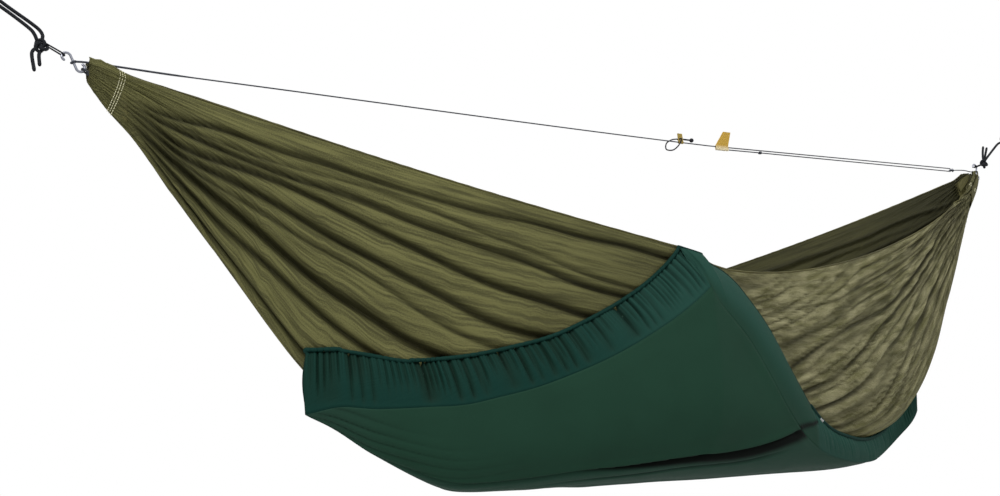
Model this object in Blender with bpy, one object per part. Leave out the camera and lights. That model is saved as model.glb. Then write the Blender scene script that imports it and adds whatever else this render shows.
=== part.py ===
"""A gathered-end camping hammock with an insulated under-cover, hung between two anchor rings.

The cloth is a U-shaped hull between two gathered ends. Its near rim is straight from the head end to
a corner near the middle and slack from there to the foot end, and the far rim is the same turned half
round, because the rectangular under-cover hangs diagonally from one rim to the other. Lengths are in
metres. +X runs from the head end to the foot end, +Z is up, and the origin is the centre of the head
anchor ring.
"""

import math

import bmesh
import bpy
import numpy as np
from mathutils import Matrix, Vector

# Clearances
SEAT_GAP = 0.0003  # between pieces that rest on each other
LAYER_GAP = 0.0005  # between the layers of the under-cover
HOLD_GAP = 0.0004  # between a cord and the bar or bore it runs round
HULL_CLEARANCE = 0.006  # between the cloth and the under-cover's lining

# Where the cloth hangs
SPAN = 2.70  # between the two gathered ends
HANG_ANGLE = math.radians(34.0)  # of the suspension above level
RING_DISTANCE = 0.275  # from a gathered end to the bar of its ring

# The cloth's hull
CLOTH_THICKNESS = 0.002
CLOTH_FOLDS = 14  # main folds across the whole width
END_HALF_WIDTH = 0.018
END_RIM_RISE = 0.004
CORNER_FROM_MIDDLE = 0.06  # towards the head on the near rim, towards the foot on the far rim
CORNER_HALF_WIDTH = 0.232
CORNER_DROP = 0.390
TAUT_SAG = 0.016  # sag of the tight part of a rim below its chord
SLACK_SAG = 0.137  # sag of the loose part of a rim
FOLD_DEPTH_AT_END = 0.005
FOLD_DEPTH_AT_MIDDLE = 0.003
FOLD_FADE = 0.50  # distance from an end over which the folds flatten
KEEL_LINE = (  # distance from the nearer end, drop below it
    (0.000, 0.038),
    (0.026, 0.077),
    (0.083, 0.146),
    (0.161, 0.262),
    (0.276, 0.425),
    (0.392, 0.588),
    (0.500, 0.695),
    (0.620, 0.770),
    (0.800, 0.812),
    (1.050, 0.826),
)
CHANNEL_DEPTH = 0.075  # of the gathered hem at each end
CHANNEL_SHARE = 0.8  # of the girth that the gathered hem's bundle fills
RIM_HEM_RADIUS = 0.002
RIM_HEM_RISE_AT_END = 0.002
RIM_HEM_FROM = 3  # the station from each end at which the rolled hem leaves the gathers
CLOTH_STATIONS = (0.0, 0.030, 0.075, 0.150, 0.270, 0.400, 0.530, 0.680, 0.860, 1.080)

# The under-cover
COVER_THICKNESS = 0.002
LINING_THICKNESS = 0.0015
COVER_BULGE = 0.022  # how far its side stands out from the cloth
COVER_KEEL_LINE = (  # distance from the nearer end, drop below it
    (0.355, 0.692),
    (0.440, 0.722),
    (0.530, 0.781),
    (0.660, 0.846),
    (0.740, 0.864),
    (1.000, 0.869),
)
COVER_TOP_EDGE = (  # head edge: distance from the head end, share of the girth from keel to near rim
    (0.365, 0.195),
    (0.478, 0.40),
    (0.600, 0.51),
    (0.796, 0.64),
    (0.930, 0.72),
    (1.100, 0.85),
    (1.290, 1.00),
)
COVER_LOWER_EDGE = (  # where the head wall turns into the flat face
    (0.355, 0.05),
    (0.470, 0.29),
    (0.593, 0.455),
    (0.720, 0.55),
    (0.866, 0.63),
    (1.020, 0.73),
    (1.170, 0.85),
    (1.290, 0.955),
)
COVER_SIDE_HEM = (  # near edge, from the near rim to past the keel
    (1.290, 1.00),
    (1.400, 0.95),
    (1.485, 0.82),
    (1.560, 0.64),
    (1.650, 0.46),
    (1.750, 0.31),
    (1.850, 0.20),
    (1.950, 0.08),
    (2.080, -0.04),
    (2.190, -0.13),
    (2.335, -0.195),
)
COVER_SIDE_FOLD = (  # where the near edge's band turns into the flat face
    (1.290, 0.955),
    (1.390, 0.86),
    (1.455, 0.74),
    (1.530, 0.57),
    (1.615, 0.40),
    (1.715, 0.25),
    (1.815, 0.14),
    (1.920, 0.04),
    (2.060, -0.02),
    (2.180, -0.05),
    (2.345, -0.05),
)
CORNER_KEPT = 0.25  # of the height of the corners below the keel, after they are rounded
FOOT_HEM_DRAWN_IN = 0.040  # of the foot end's hem, against the head end's
FOOT_FOLD_DRAWN_IN = 0.070
FOOT_DRAWN_FROM = 2.00
EDGE_TABLE_CORNER = 1.29  # the distance at which those edges meet the rim corner
COVER_CELLS_LONG = 20
COVER_CELLS_SHORT = 16
COVER_CORNER_CELL = 8  # of the long cells, where the narrow side hem meets the foot band
HEM_HEIGHT = 0.005  # of the cover's edge above the cloth's hull
TUBE_CLEARANCE = 0.0018  # between the draw tube and the cloth's hull
WALL_CLEARANCE = 0.0012  # between the draw tube and the shell's wall
BINDING_CLEARANCE = 0.0004  # between a side binding and the shell's wall
LINING_INSET = 0.60  # of a cell, from the shell's hem to the lining's edge
DRAW_TUBE_RADIUS = 0.0045
DRAW_TUBE_BORE = 0.0030
ELASTIC_RADIUS = 0.0020
BINDING_RADIUS = 0.0022

# Ropes, hooks and rings
ROPE_RADIUS = 0.0035
LASHING_RADIUS = 0.0016
FOOT_EYE_RADIUS = 0.0026
GATHER_CORD_RADIUS = 0.0020
GATHER_CORD_REACH = 0.050
GATHER_CORD_FALL = math.radians(33.4)
RING_RADIUS = 0.022
RING_BAR_RADIUS = 0.005
RING_GAP = 0.0008  # between a rope's turn and the bar of its ring, which it tilts on
BIGHT_HALF_HEIGHT = 0.0105
HOOK_HALF_SPREAD = 0.0165  # from its middle to the centre of each curl
HOOK_CURL_RADIUS = 0.0085
HOOK_BAR_RADIUS = 0.0026
HOOK_CURL_SWEEP = math.radians(95.0)
HEAD_HOOK_LEAN = math.radians(142.0)
HEAD_HOOK_CURL = (-0.0131, -0.0060)  # the centre of its lower curl, from the gathered end
FOOT_HOOK_MIDDLE = (0.0130, 0.0080)
KNOT_RADIUS = 0.0082
KNOT_STRAND_ORBIT = 0.0039
KNOT_STRAND_RADIUS = 0.0034
HEAD_KNOT = (0.0877, -0.0229)  # along the pull and across it, from the gathered end
HEAD_KNOT_LOBE = math.radians(106.0)
FOOT_KNOT = (0.0754, -0.0026)
FOOT_KNOT_LOBE = math.radians(17.0)
ANCHOR_KNOT = (0.2380, 0.0)

# Ridge cord
RIDGE_RADIUS = 0.0015
EYE_CORD_RADIUS = 0.0018  # where the cord is sewn into an eye
SPLICE_SWELL = 1.4  # of the cord's thickness where its end is buried in itself
SPLICE_END = 0.165
SPLICE_TAPER = 0.05
RIDGE_LINE = (  # distance from the head end, height above the gathered ends
    (0.000, 0.0072),
    (0.061, 0.0060),
    (0.1803, 0.0027),
    (0.440, -0.0005),
    (0.840, -0.0060),
    (1.200, -0.0100),
    (1.450, -0.0116),
    (1.600, -0.0118),
)
LINK_FROM_FOOT = 0.108  # between the link and the foot's gathered end
LINK_AT = SPAN - LINK_FROM_FOOT
LINK_RADIUS = 0.006
LINK_BAR_RADIUS = 0.0015
LINK_HEIGHT = 0.0042
RUN_ABOVE_LINK = 0.004706  # between the middles of the cord's straight run and the link's bar
LEADER_LINE = ((0.0800, 0.0062), (0.0450, 0.0084), (0.0115, 0.0064))  # from the foot end, height
RETURN_GAP = 0.0066  # between the cord's two runs at the pull tab
RETURN_END = 1.640
RETURN_PARALLEL_END = 1.810
STOP_KNOT_AT = 1.783
STOP_KNOT_TURNS = 3
STOP_KNOT_WIRE = 0.0011

# Pull tab on the ridge cord
TAB_START = 1.622
TAB_LENGTH = 0.044
TAB_WALL = 0.0010
TAB_BLADE = ((0.000, 0.000), (0.044, 0.000), (0.062, 0.043), (0.0365, 0.043))
TAB_BLADE_THICKNESS = 0.0024
BLADE_SUNK = 0.6  # of the sleeve's wall that stays under the plate

# Gear loop on the ridge cord
GEAR_START = 1.494
GEAR_LENGTH = 0.016
GEAR_BLADE = ((0.000, 0.000), (0.016, 0.000), (0.016, 0.022), (0.001, 0.022))
GEAR_EYELET = (0.0050, 0.0062)
GEAR_CORD_RADIUS = 0.0017
GEAR_LOOP_TILT = math.radians(213.0)
GEAR_LOOP_LENGTH = 0.060
GEAR_LOOP_HALF_WIDTH = 0.0115
TOGGLE_RADIUS = 0.0057
TOGGLE_NECK_RADIUS = 0.0022
TOGGLE_NECK_LENGTH = 0.030
TOGGLE_HEIGHT = 0.0095  # above the ridge cord

# Beads on the elastics' ends
BEAD_RADIUS = 0.0042
BEAD_LENGTH = 0.0150
BEAD_STAND_OFF = 0.0015
BEAD_TAIL = 0.024


def colour(name, rgb, roughness, metallic=0.0):
    """A material of one colour."""
    material = bpy.data.materials.new(name)
    material.use_nodes = True
    shader = material.node_tree.nodes["Principled BSDF"]
    shader.inputs["Base Color"].default_value = (*rgb, 1.0)
    shader.inputs["Roughness"].default_value = roughness
    shader.inputs["Metallic"].default_value = metallic
    material.diffuse_color = (*rgb, 1.0)
    return material


def smooth_through(points, x):
    """The height at x of a smooth line through (x, height) points, level past its ends' slopes."""
    xs = [p[0] for p in points]
    ys = [p[1] for p in points]
    if x <= xs[0]:
        return ys[0]
    if x >= xs[-1]:
        return ys[-1]
    i = max(k for k in range(len(xs) - 1) if xs[k] <= x)
    slopes = []
    for k in (i, i + 1):
        low, high = max(k - 1, 0), min(k + 1, len(xs) - 1)
        slopes.append((ys[high] - ys[low]) / (xs[high] - xs[low]))
    width = xs[i + 1] - xs[i]
    t = (x - xs[i]) / width
    a, b = ys[i], ys[i + 1]
    m, n = slopes[0] * width, slopes[1] * width
    return (
        a * (2 * t**3 - 3 * t**2 + 1)
        + m * (t**3 - 2 * t**2 + t)
        + b * (3 * t**2 - 2 * t**3)
        + n * (t**3 - t**2)
    )


def ease(x, start, end):
    """0 before start, 1 after end, and a smooth step between them."""
    t = min(1.0, max(0.0, (x - start) / (end - start)))
    return t * t * (3 - 2 * t)


ACROSS = Vector((0.0, 1.0, 0.0))
PULL = Vector((-math.cos(HANG_ANGLE), 0.0, math.sin(HANG_ANGLE)))  # towards the head ring
HEAD_END = -PULL * (RING_RADIUS + RING_DISTANCE)  # the head gathered end in the part's frame
CORNER_AT = SPAN / 2 - CORNER_FROM_MIDDLE


def place(u, y, z):
    """A point given by its distance from the head end, its offset and its height above the ends."""
    return HEAD_END + Vector((u, y, z))


def half_turned(point):
    """The point turned half round the upright line through the hammock's middle."""
    middle = HEAD_END.x + SPAN / 2
    return Vector((2 * middle - point.x, -point.y, point.z))


def rim(u):
    """(half width, height) of the near rim at distance u from the head end."""
    if u <= CORNER_AT:
        t = u / CORNER_AT
        width = END_HALF_WIDTH + (CORNER_HALF_WIDTH - END_HALF_WIDTH) * t
        chord = END_RIM_RISE - (CORNER_DROP + END_RIM_RISE) * t
        return width, chord - TAUT_SAG * math.sin(math.pi * t)
    t = (SPAN - u) / (SPAN - CORNER_AT)
    width = END_HALF_WIDTH + (CORNER_HALF_WIDTH - END_HALF_WIDTH) * t
    height = END_RIM_RISE - (CORNER_DROP + END_RIM_RISE) * t
    sag = SLACK_SAG * max(0.0, math.sin(math.pi * t)) ** 0.55
    return width, height - sag


def keel(u):
    """Height of the cloth's lowest line at distance u from the head end."""
    return -smooth_through(KEEL_LINE, min(u, SPAN - u))


def cover_keel(u):
    """Height of the under-cover's lowest line."""
    return -smooth_through(COVER_KEEL_LINE, min(u, SPAN - u))


def fullness(u):
    """The exponent of the hull's section: 2 is an ellipse, and more is boxier."""
    return 2.0 + 0.5 * ease(min(u, SPAN - u), 0.30, 0.90)


def section_point(u, share, low, bulge=0.0, boxier=0.0):
    """A point of the hull's section, from the near rim at share 1 by the keel at 0 to the far rim at -1."""
    width, top = rim(u) if share >= 0 else rim(SPAN - u)
    angle = abs(share) * math.pi / 2
    power = 2.0 / (fullness(u) + boxier)
    side = (width + bulge) * math.sin(angle) ** power
    height = low + (top - low) * (1 - math.cos(angle) ** power)
    return place(u, -side if share >= 0 else side, height)


def cloth_point(u, share):
    """A point of the cloth's hull, without its folds."""
    return section_point(u, share, keel(u))


def cover_point(u, share):
    """A point of the under-cover's outer hull."""
    return section_point(u, share, cover_keel(u), COVER_BULGE, 0.5)


def outward(surface, u, share, step=0.004):
    """The hull's outward normal at a point."""
    u = min(max(u, step), SPAN - step)
    share = min(max(share, -1 + step), 1 - step)
    along = surface(u + step, share) - surface(u - step, share)
    around = surface(u, share + step) - surface(u, share - step)
    return along.cross(around).normalized()


def fold_depth(u):
    """How far the crest of a fold stands out of the hull."""
    flat = ease(min(u, SPAN - u), 0.0, FOLD_FADE)
    return FOLD_DEPTH_AT_END + (FOLD_DEPTH_AT_MIDDLE - FOLD_DEPTH_AT_END) * flat


def new_object(name, mesh, material, smooth=True):
    """An object in the scene that holds the mesh."""
    obj = bpy.data.objects.new(name, mesh)
    bpy.context.collection.objects.link(obj)
    mesh.materials.clear()
    mesh.materials.append(material)
    if smooth:
        mesh.shade_smooth()
        mesh.set_sharp_from_angle(angle=math.radians(40))
    return obj


def mesh_of(name, vertices, faces):
    """A mesh whose faces point outwards."""
    mesh = bpy.data.meshes.new(name)
    mesh.from_pydata([tuple(v) for v in vertices], [], faces)
    bm = bmesh.new()
    bm.from_mesh(mesh)
    bmesh.ops.recalc_face_normals(bm, faces=bm.faces)
    bm.to_mesh(mesh)
    bm.free()
    return mesh


def grid_faces(rows, columns, start=0):
    """Triangles of a grid of rows by columns vertices, all cut the same way."""
    faces = []
    for i in range(rows - 1):
        for j in range(columns - 1):
            a = start + i * columns + j
            faces.append((a, a + 1, a + columns + 1))
            faces.append((a, a + columns + 1, a + columns))
    return faces


def border(rows, columns):
    """The indices round a grid of vertices, in order."""
    top = [j for j in range(columns)]
    right = [i * columns + columns - 1 for i in range(1, rows)]
    bottom = [(rows - 1) * columns + j for j in range(columns - 2, -1, -1)]
    left = [i * columns for i in range(rows - 2, 0, -1)]
    return top + right + bottom + left


def slab(name, outer, inner, material):
    """A closed solid between two grids of points of the same size."""
    rows, columns = len(outer), len(outer[0])
    vertices = [p for row in outer for p in row] + [p for row in inner for p in row]
    half = rows * columns
    faces = grid_faces(rows, columns)
    faces += [tuple(reversed(f)) for f in grid_faces(rows, columns, half)]
    ring = border(rows, columns)
    for a, b in zip(ring, ring[1:] + ring[:1]):
        faces.append((a, a + half, b + half, b))
    return new_object(name, mesh_of(name, vertices, faces), material)


def tube(name, points, radius, material, resolution=2):
    """A plain round cord along the points, with filled ends."""
    curve = bpy.data.curves.new(name, "CURVE")
    curve.dimensions = "3D"
    spline = curve.splines.new("POLY")
    spline.points.add(len(points) - 1)
    for target, point in zip(spline.points, points):
        target.co = (*point, 1.0)
    curve.bevel_depth = radius
    curve.bevel_resolution = resolution
    curve.use_fill_caps = True
    curve.materials.append(material)
    obj = bpy.data.objects.new(name, curve)
    bpy.context.collection.objects.link(obj)
    return obj


def route(points, count, closed=False):
    """Evenly spread points on a smooth curve through the given ones."""
    points = [Vector(p) for p in points]
    last = len(points)
    fine = []
    spans = last if closed else last - 1
    for i in range(spans):
        if closed:
            a, b, c, d = (points[(i + k) % last] for k in (-1, 0, 1, 2))
        else:
            a, b = points[max(i - 1, 0)], points[i]
            c, d = points[i + 1], points[min(i + 2, last - 1)]
        for step in range(24):
            t = step / 24
            fine.append(
                0.5
                * (
                    2 * b
                    + (c - a) * t
                    + (2 * a - 5 * b + 4 * c - d) * t * t
                    + (3 * b - a - 3 * c + d) * t**3
                )
            )
    fine.append(points[0] if closed else points[-1])
    lengths = np.cumsum([0.0] + [(q - p).length for p, q in zip(fine, fine[1:])])
    wanted = np.linspace(0.0, lengths[-1], count + 1 if closed else count)
    if closed:
        wanted = wanted[:-1]
    flat = np.array([tuple(p) for p in fine])
    spread = [np.interp(wanted, lengths, flat[:, axis]) for axis in range(3)]
    return [Vector(p) for p in zip(*spread)]


def carried_frames(points, closed):
    """Two directions across the line at each point, carried along it without twisting."""
    count = len(points)
    tangents = []
    for i in range(count):
        after = points[(i + 1) % count] if closed else points[min(i + 1, count - 1)]
        before = points[i - 1] if closed else points[max(i - 1, 0)]
        tangents.append((after - before).normalized())
    least = min(range(3), key=lambda axis: abs(tangents[0][axis]))
    start = Vector((0.0, 0.0, 0.0))
    start[least] = 1.0
    side = (start - tangents[0] * start.dot(tangents[0])).normalized()
    sides = [side]
    for before, after in zip(tangents, tangents[1:]):
        side = before.rotation_difference(after).to_matrix() @ side
        side = (side - after * side.dot(after)).normalized()
        sides.append(side)
    if closed:
        carried = tangents[-1].rotation_difference(tangents[0]).to_matrix() @ sides[-1]
        other = tangents[0].cross(sides[0])
        twist = math.atan2(carried.dot(other), carried.dot(sides[0]))
        for i in range(count):
            turn = Matrix.Rotation(-twist * i / count, 3, tangents[i])
            sides[i] = turn @ sides[i]
    return [(s, t.cross(s)) for s, t in zip(sides, tangents)]


def swept(name, points, radius, material, sides=8, closed=False, bore=None):
    """A round bar or pipe along the points, as one closed mesh; the radius may vary by point."""
    frames = carried_frames(points, closed)
    reaches = radius if isinstance(radius, (list, tuple)) else [radius] * len(points)
    layers = [reaches] if bore is None else [reaches, [bore] * len(points)]
    vertices, faces = [], []
    for layer in layers:
        for point, (side, up), reach in zip(points, frames, layer):
            for k in range(sides):
                turn = 2 * math.pi * (k + 0.5) / sides
                vertices.append(point + side * reach * math.cos(turn) + up * reach * math.sin(turn))
    count = len(points)
    for layer in range(len(layers)):
        base = layer * count * sides
        for i in range(count if closed else count - 1):
            for k in range(sides):
                n = (k + 1) % sides
                a, b = base + i * sides, base + (i + 1) % count * sides
                quad = (a + k, a + n, b + n, b + k)
                faces.append(quad if layer == 0 else tuple(reversed(quad)))
    if not closed:
        for end in (0, (count - 1) * sides):
            if bore is None:
                faces.append(tuple(end + k for k in range(sides)))
                continue
            inner = count * sides + end
            for k in range(sides):
                n = (k + 1) % sides
                faces.append((end + k, end + n, inner + n, inner + k))
    return new_object(name, mesh_of(name, vertices, faces), material)


def fused(name, pieces):
    """One body made of overlapping pieces, under a new name."""
    whole = pieces[0]
    for piece in pieces[1:]:
        joined(whole, piece, "UNION")
    whole.name = name
    whole.data.name = name
    whole.data.shade_smooth()
    whole.data.set_sharp_from_angle(angle=math.radians(40))
    return whole


def joined(target, cutter, operation):
    """Applies a Boolean of cutter to target, and removes the cutter."""
    modifier = target.modifiers.new(operation, "BOOLEAN")
    modifier.operation = operation
    modifier.solver = "EXACT"
    modifier.object = cutter
    bpy.context.view_layer.update()
    graph = bpy.context.evaluated_depsgraph_get()
    mesh = bpy.data.meshes.new_from_object(target.evaluated_get(graph), depsgraph=graph)
    target.modifiers.clear()
    target.data = mesh
    bpy.data.objects.remove(cutter)
    return target


def in_plane(angle):
    """The direction at an angle from +X towards +Z."""
    return Vector((math.cos(angle), 0.0, math.sin(angle)))


def arc(centre, first, second, start, end, count, first_radius, second_radius=None):
    """Points round an ellipse's part between two angles from the first direction to the second."""
    second_radius = first_radius if second_radius is None else second_radius
    turns = [start + (end - start) * k / (count - 1) for k in range(count)]
    return [
        centre + first * first_radius * math.cos(t) + second * second_radius * math.sin(t)
        for t in turns
    ]


def eyelet_path(bar_point, away, radius, legs):
    """A cord that comes along one leg, turns round a bar and goes back; legs are the half's points."""
    bight = arc(bar_point, ACROSS, -away, 0.0, math.pi, 7, radius)
    mirrored = [Vector((p.x, -p.y, p.z)) for p in legs]
    return list(reversed(legs)) + bight + mirrored


def hook_points(middle, lean):
    """An S-hook's centreline: two curls joined by their common inner tangent."""
    out = in_plane(lean)
    side = in_plane(lean + math.pi / 2)
    tangent = math.asin(HOOK_CURL_RADIUS / HOOK_HALF_SPREAD)
    curl = arc(
        out * HOOK_HALF_SPREAD,
        out,
        side,
        HOOK_CURL_SWEEP,
        -math.pi / 2 - tangent,
        16,
        HOOK_CURL_RADIUS,
    )
    return [middle + p for p in curl] + [middle - p for p in reversed(curl)]


def hook_bar_direction(lean):
    """The direction of an S-hook's middle bar."""
    tangent = math.asin(HOOK_CURL_RADIUS / HOOK_HALF_SPREAD)
    return in_plane(lean - tangent)


def from_foot(along, height):
    """A point beside the foot gathered end."""
    return place(SPAN + along, 0.0, height)


HEAD_CURL = place(HEAD_HOOK_CURL[0], 0.0, HEAD_HOOK_CURL[1])
HEAD_HOOK_MIDDLE = HEAD_CURL + in_plane(HEAD_HOOK_LEAN) * HOOK_HALF_SPREAD
FOOT_HOOK_AT = from_foot(*FOOT_HOOK_MIDDLE)
FOOT_HOOK_LEAN = math.pi / 2


def gather_cord_line(at_foot):
    """(bar point, direction into the cloth) of the cord that gathers an end."""
    if at_foot:
        into = in_plane(math.pi + GATHER_CORD_FALL)
        curl = FOOT_HOOK_AT - in_plane(FOOT_HOOK_LEAN) * HOOK_HALF_SPREAD
        return curl + into * HOOK_CURL_RADIUS, into
    into = in_plane(-GATHER_CORD_FALL)
    return HEAD_CURL + into * HOOK_CURL_RADIUS, into


def gather_cord_legs(at_foot):
    """The two straight lines along which the gathering cord goes into the cloth."""
    bar_point, into = gather_cord_line(at_foot)
    side = ACROSS * (HOOK_BAR_RADIUS + HOLD_GAP + GATHER_CORD_RADIUS)
    far = into * (GATHER_CORD_REACH + SEAT_GAP)
    return [[bar_point + s, bar_point + s + far] for s in (side, -side)]


def knot_lap(centre, lobe, angle):
    """The centre of the knot's outer strand at an angle round it."""
    third = 2 * math.pi / 3
    nearest = (angle - lobe + third / 2) % third - third / 2
    phase = 1.5 * nearest
    reach = KNOT_RADIUS + KNOT_STRAND_ORBIT * math.cos(phase)
    return centre + in_plane(angle) * reach + ACROSS * KNOT_STRAND_ORBIT * math.sin(phase)


def knot_body(centre, lobe, material):
    """An overhand knot drawn tight: a trefoil of rope that fills its own turns."""
    count = 27
    points = []
    for k in range(count):
        t = 2 * math.pi * k / count
        reach = KNOT_RADIUS + KNOT_STRAND_ORBIT * math.cos(3 * t)
        points.append(
            centre
            + in_plane(lobe + 2 * t) * reach
            + ACROSS * KNOT_STRAND_ORBIT * math.sin(3 * t)
        )
    return swept("knot", points, KNOT_STRAND_RADIUS, material, closed=True)


class Cloth:
    """The hammock's cloth, its gathered hems and its rolled rims."""

    def __init__(self, olive, olive_dark):
        self.olive = olive
        self.olive_dark = olive_dark
        far_half = [SPAN - d for d in reversed(CLOTH_STATIONS)]
        self.stations = [*CLOTH_STATIONS, SPAN / 2, *far_half]
        self.columns = 2 * CLOTH_FOLDS + 1

    def share(self, column):
        """The share of the girth at a column, 1 on the near rim and -1 on the far one."""
        return 1.0 - 2.0 * column / (self.columns - 1)

    def layer(self, depth, stations, in_valleys=False):
        """A grid of points at a depth inside the folded hull."""
        grid = []
        for u in stations:
            row = []
            for column in range(self.columns):
                share = self.share(column)
                dip = fold_depth(u) if in_valleys or column % 2 == 0 else 0.0
                row.append(cloth_point(u, share) - outward(cloth_point, u, share) * (dip + depth))
            grid.append(row)
        return grid

    def sheet(self):
        """The folded cloth from end to end."""
        outer = self.layer(0.0, self.stations)
        inner = self.layer(CLOTH_THICKNESS, self.stations)
        return slab("hammock_cloth", outer, inner, self.olive)

    def end_channel(self, name, at_foot):
        """The bundle of folded hem that fills the gathered end."""
        depth = CLOTH_THICKNESS + SEAT_GAP
        depths = (0.0, 0.030, CHANNEL_DEPTH)
        stations = [SPAN - d if at_foot else d for d in depths]
        skip = round(CLOTH_FOLDS * (1 - CHANNEL_SHARE))
        layers = self.layer(depth, stations, in_valleys=True)
        rings = [ring[skip : self.columns - skip] for ring in layers]
        count = len(rings[0])
        vertices = [p for ring in rings for p in ring]
        faces = grid_faces(len(rings), count)
        for i in range(len(rings) - 1):
            a = i * count
            faces.append((a + count - 1, a, a + count, a + 2 * count - 1))
        for first, ring in ((0, rings[0]), ((len(rings) - 1) * count, rings[-1])):
            middle = len(vertices)
            vertices.append(sum(ring, Vector()) / count)
            faces += [(first + k, first + (k + 1) % count, middle) for k in range(count)]
        bundle = new_object(name, mesh_of(name, vertices, faces), self.olive_dark)
        for leg in gather_cord_legs(at_foot):
            hole = swept("bore", leg, GATHER_CORD_RADIUS + 2 * HOLD_GAP, self.olive_dark)
            joined(bundle, hole, "DIFFERENCE")
        return bundle

    def rim_hem(self, name, near):
        """The rolled hem that runs along a rim."""
        points = []
        for u in self.stations[RIM_HEM_FROM:-RIM_HEM_FROM]:
            edge = cloth_point(u, 1.0 if near else -1.0)
            normal = outward(cloth_point, u, 1.0 if near else -1.0)
            gathered = 1 - ease(min(u, SPAN - u), 0.0, FOLD_FADE)
            rise = RIM_HEM_RADIUS + SEAT_GAP + RIM_HEM_RISE_AT_END * gathered
            lift = Vector((0, 0, rise))
            points.append(edge - normal * (fold_depth(u) + CLOTH_THICKNESS / 2) + lift)
        return swept(name, points, RIM_HEM_RADIUS, self.olive_dark, sides=6)

    def build(self):
        """Makes the cloth with its hems."""
        self.sheet()
        self.end_channel("head_end_channel", at_foot=False)
        self.end_channel("foot_end_channel", at_foot=True)
        self.rim_hem("near_rim_hem", near=True)
        self.rim_hem("far_rim_hem", near=False)


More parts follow.
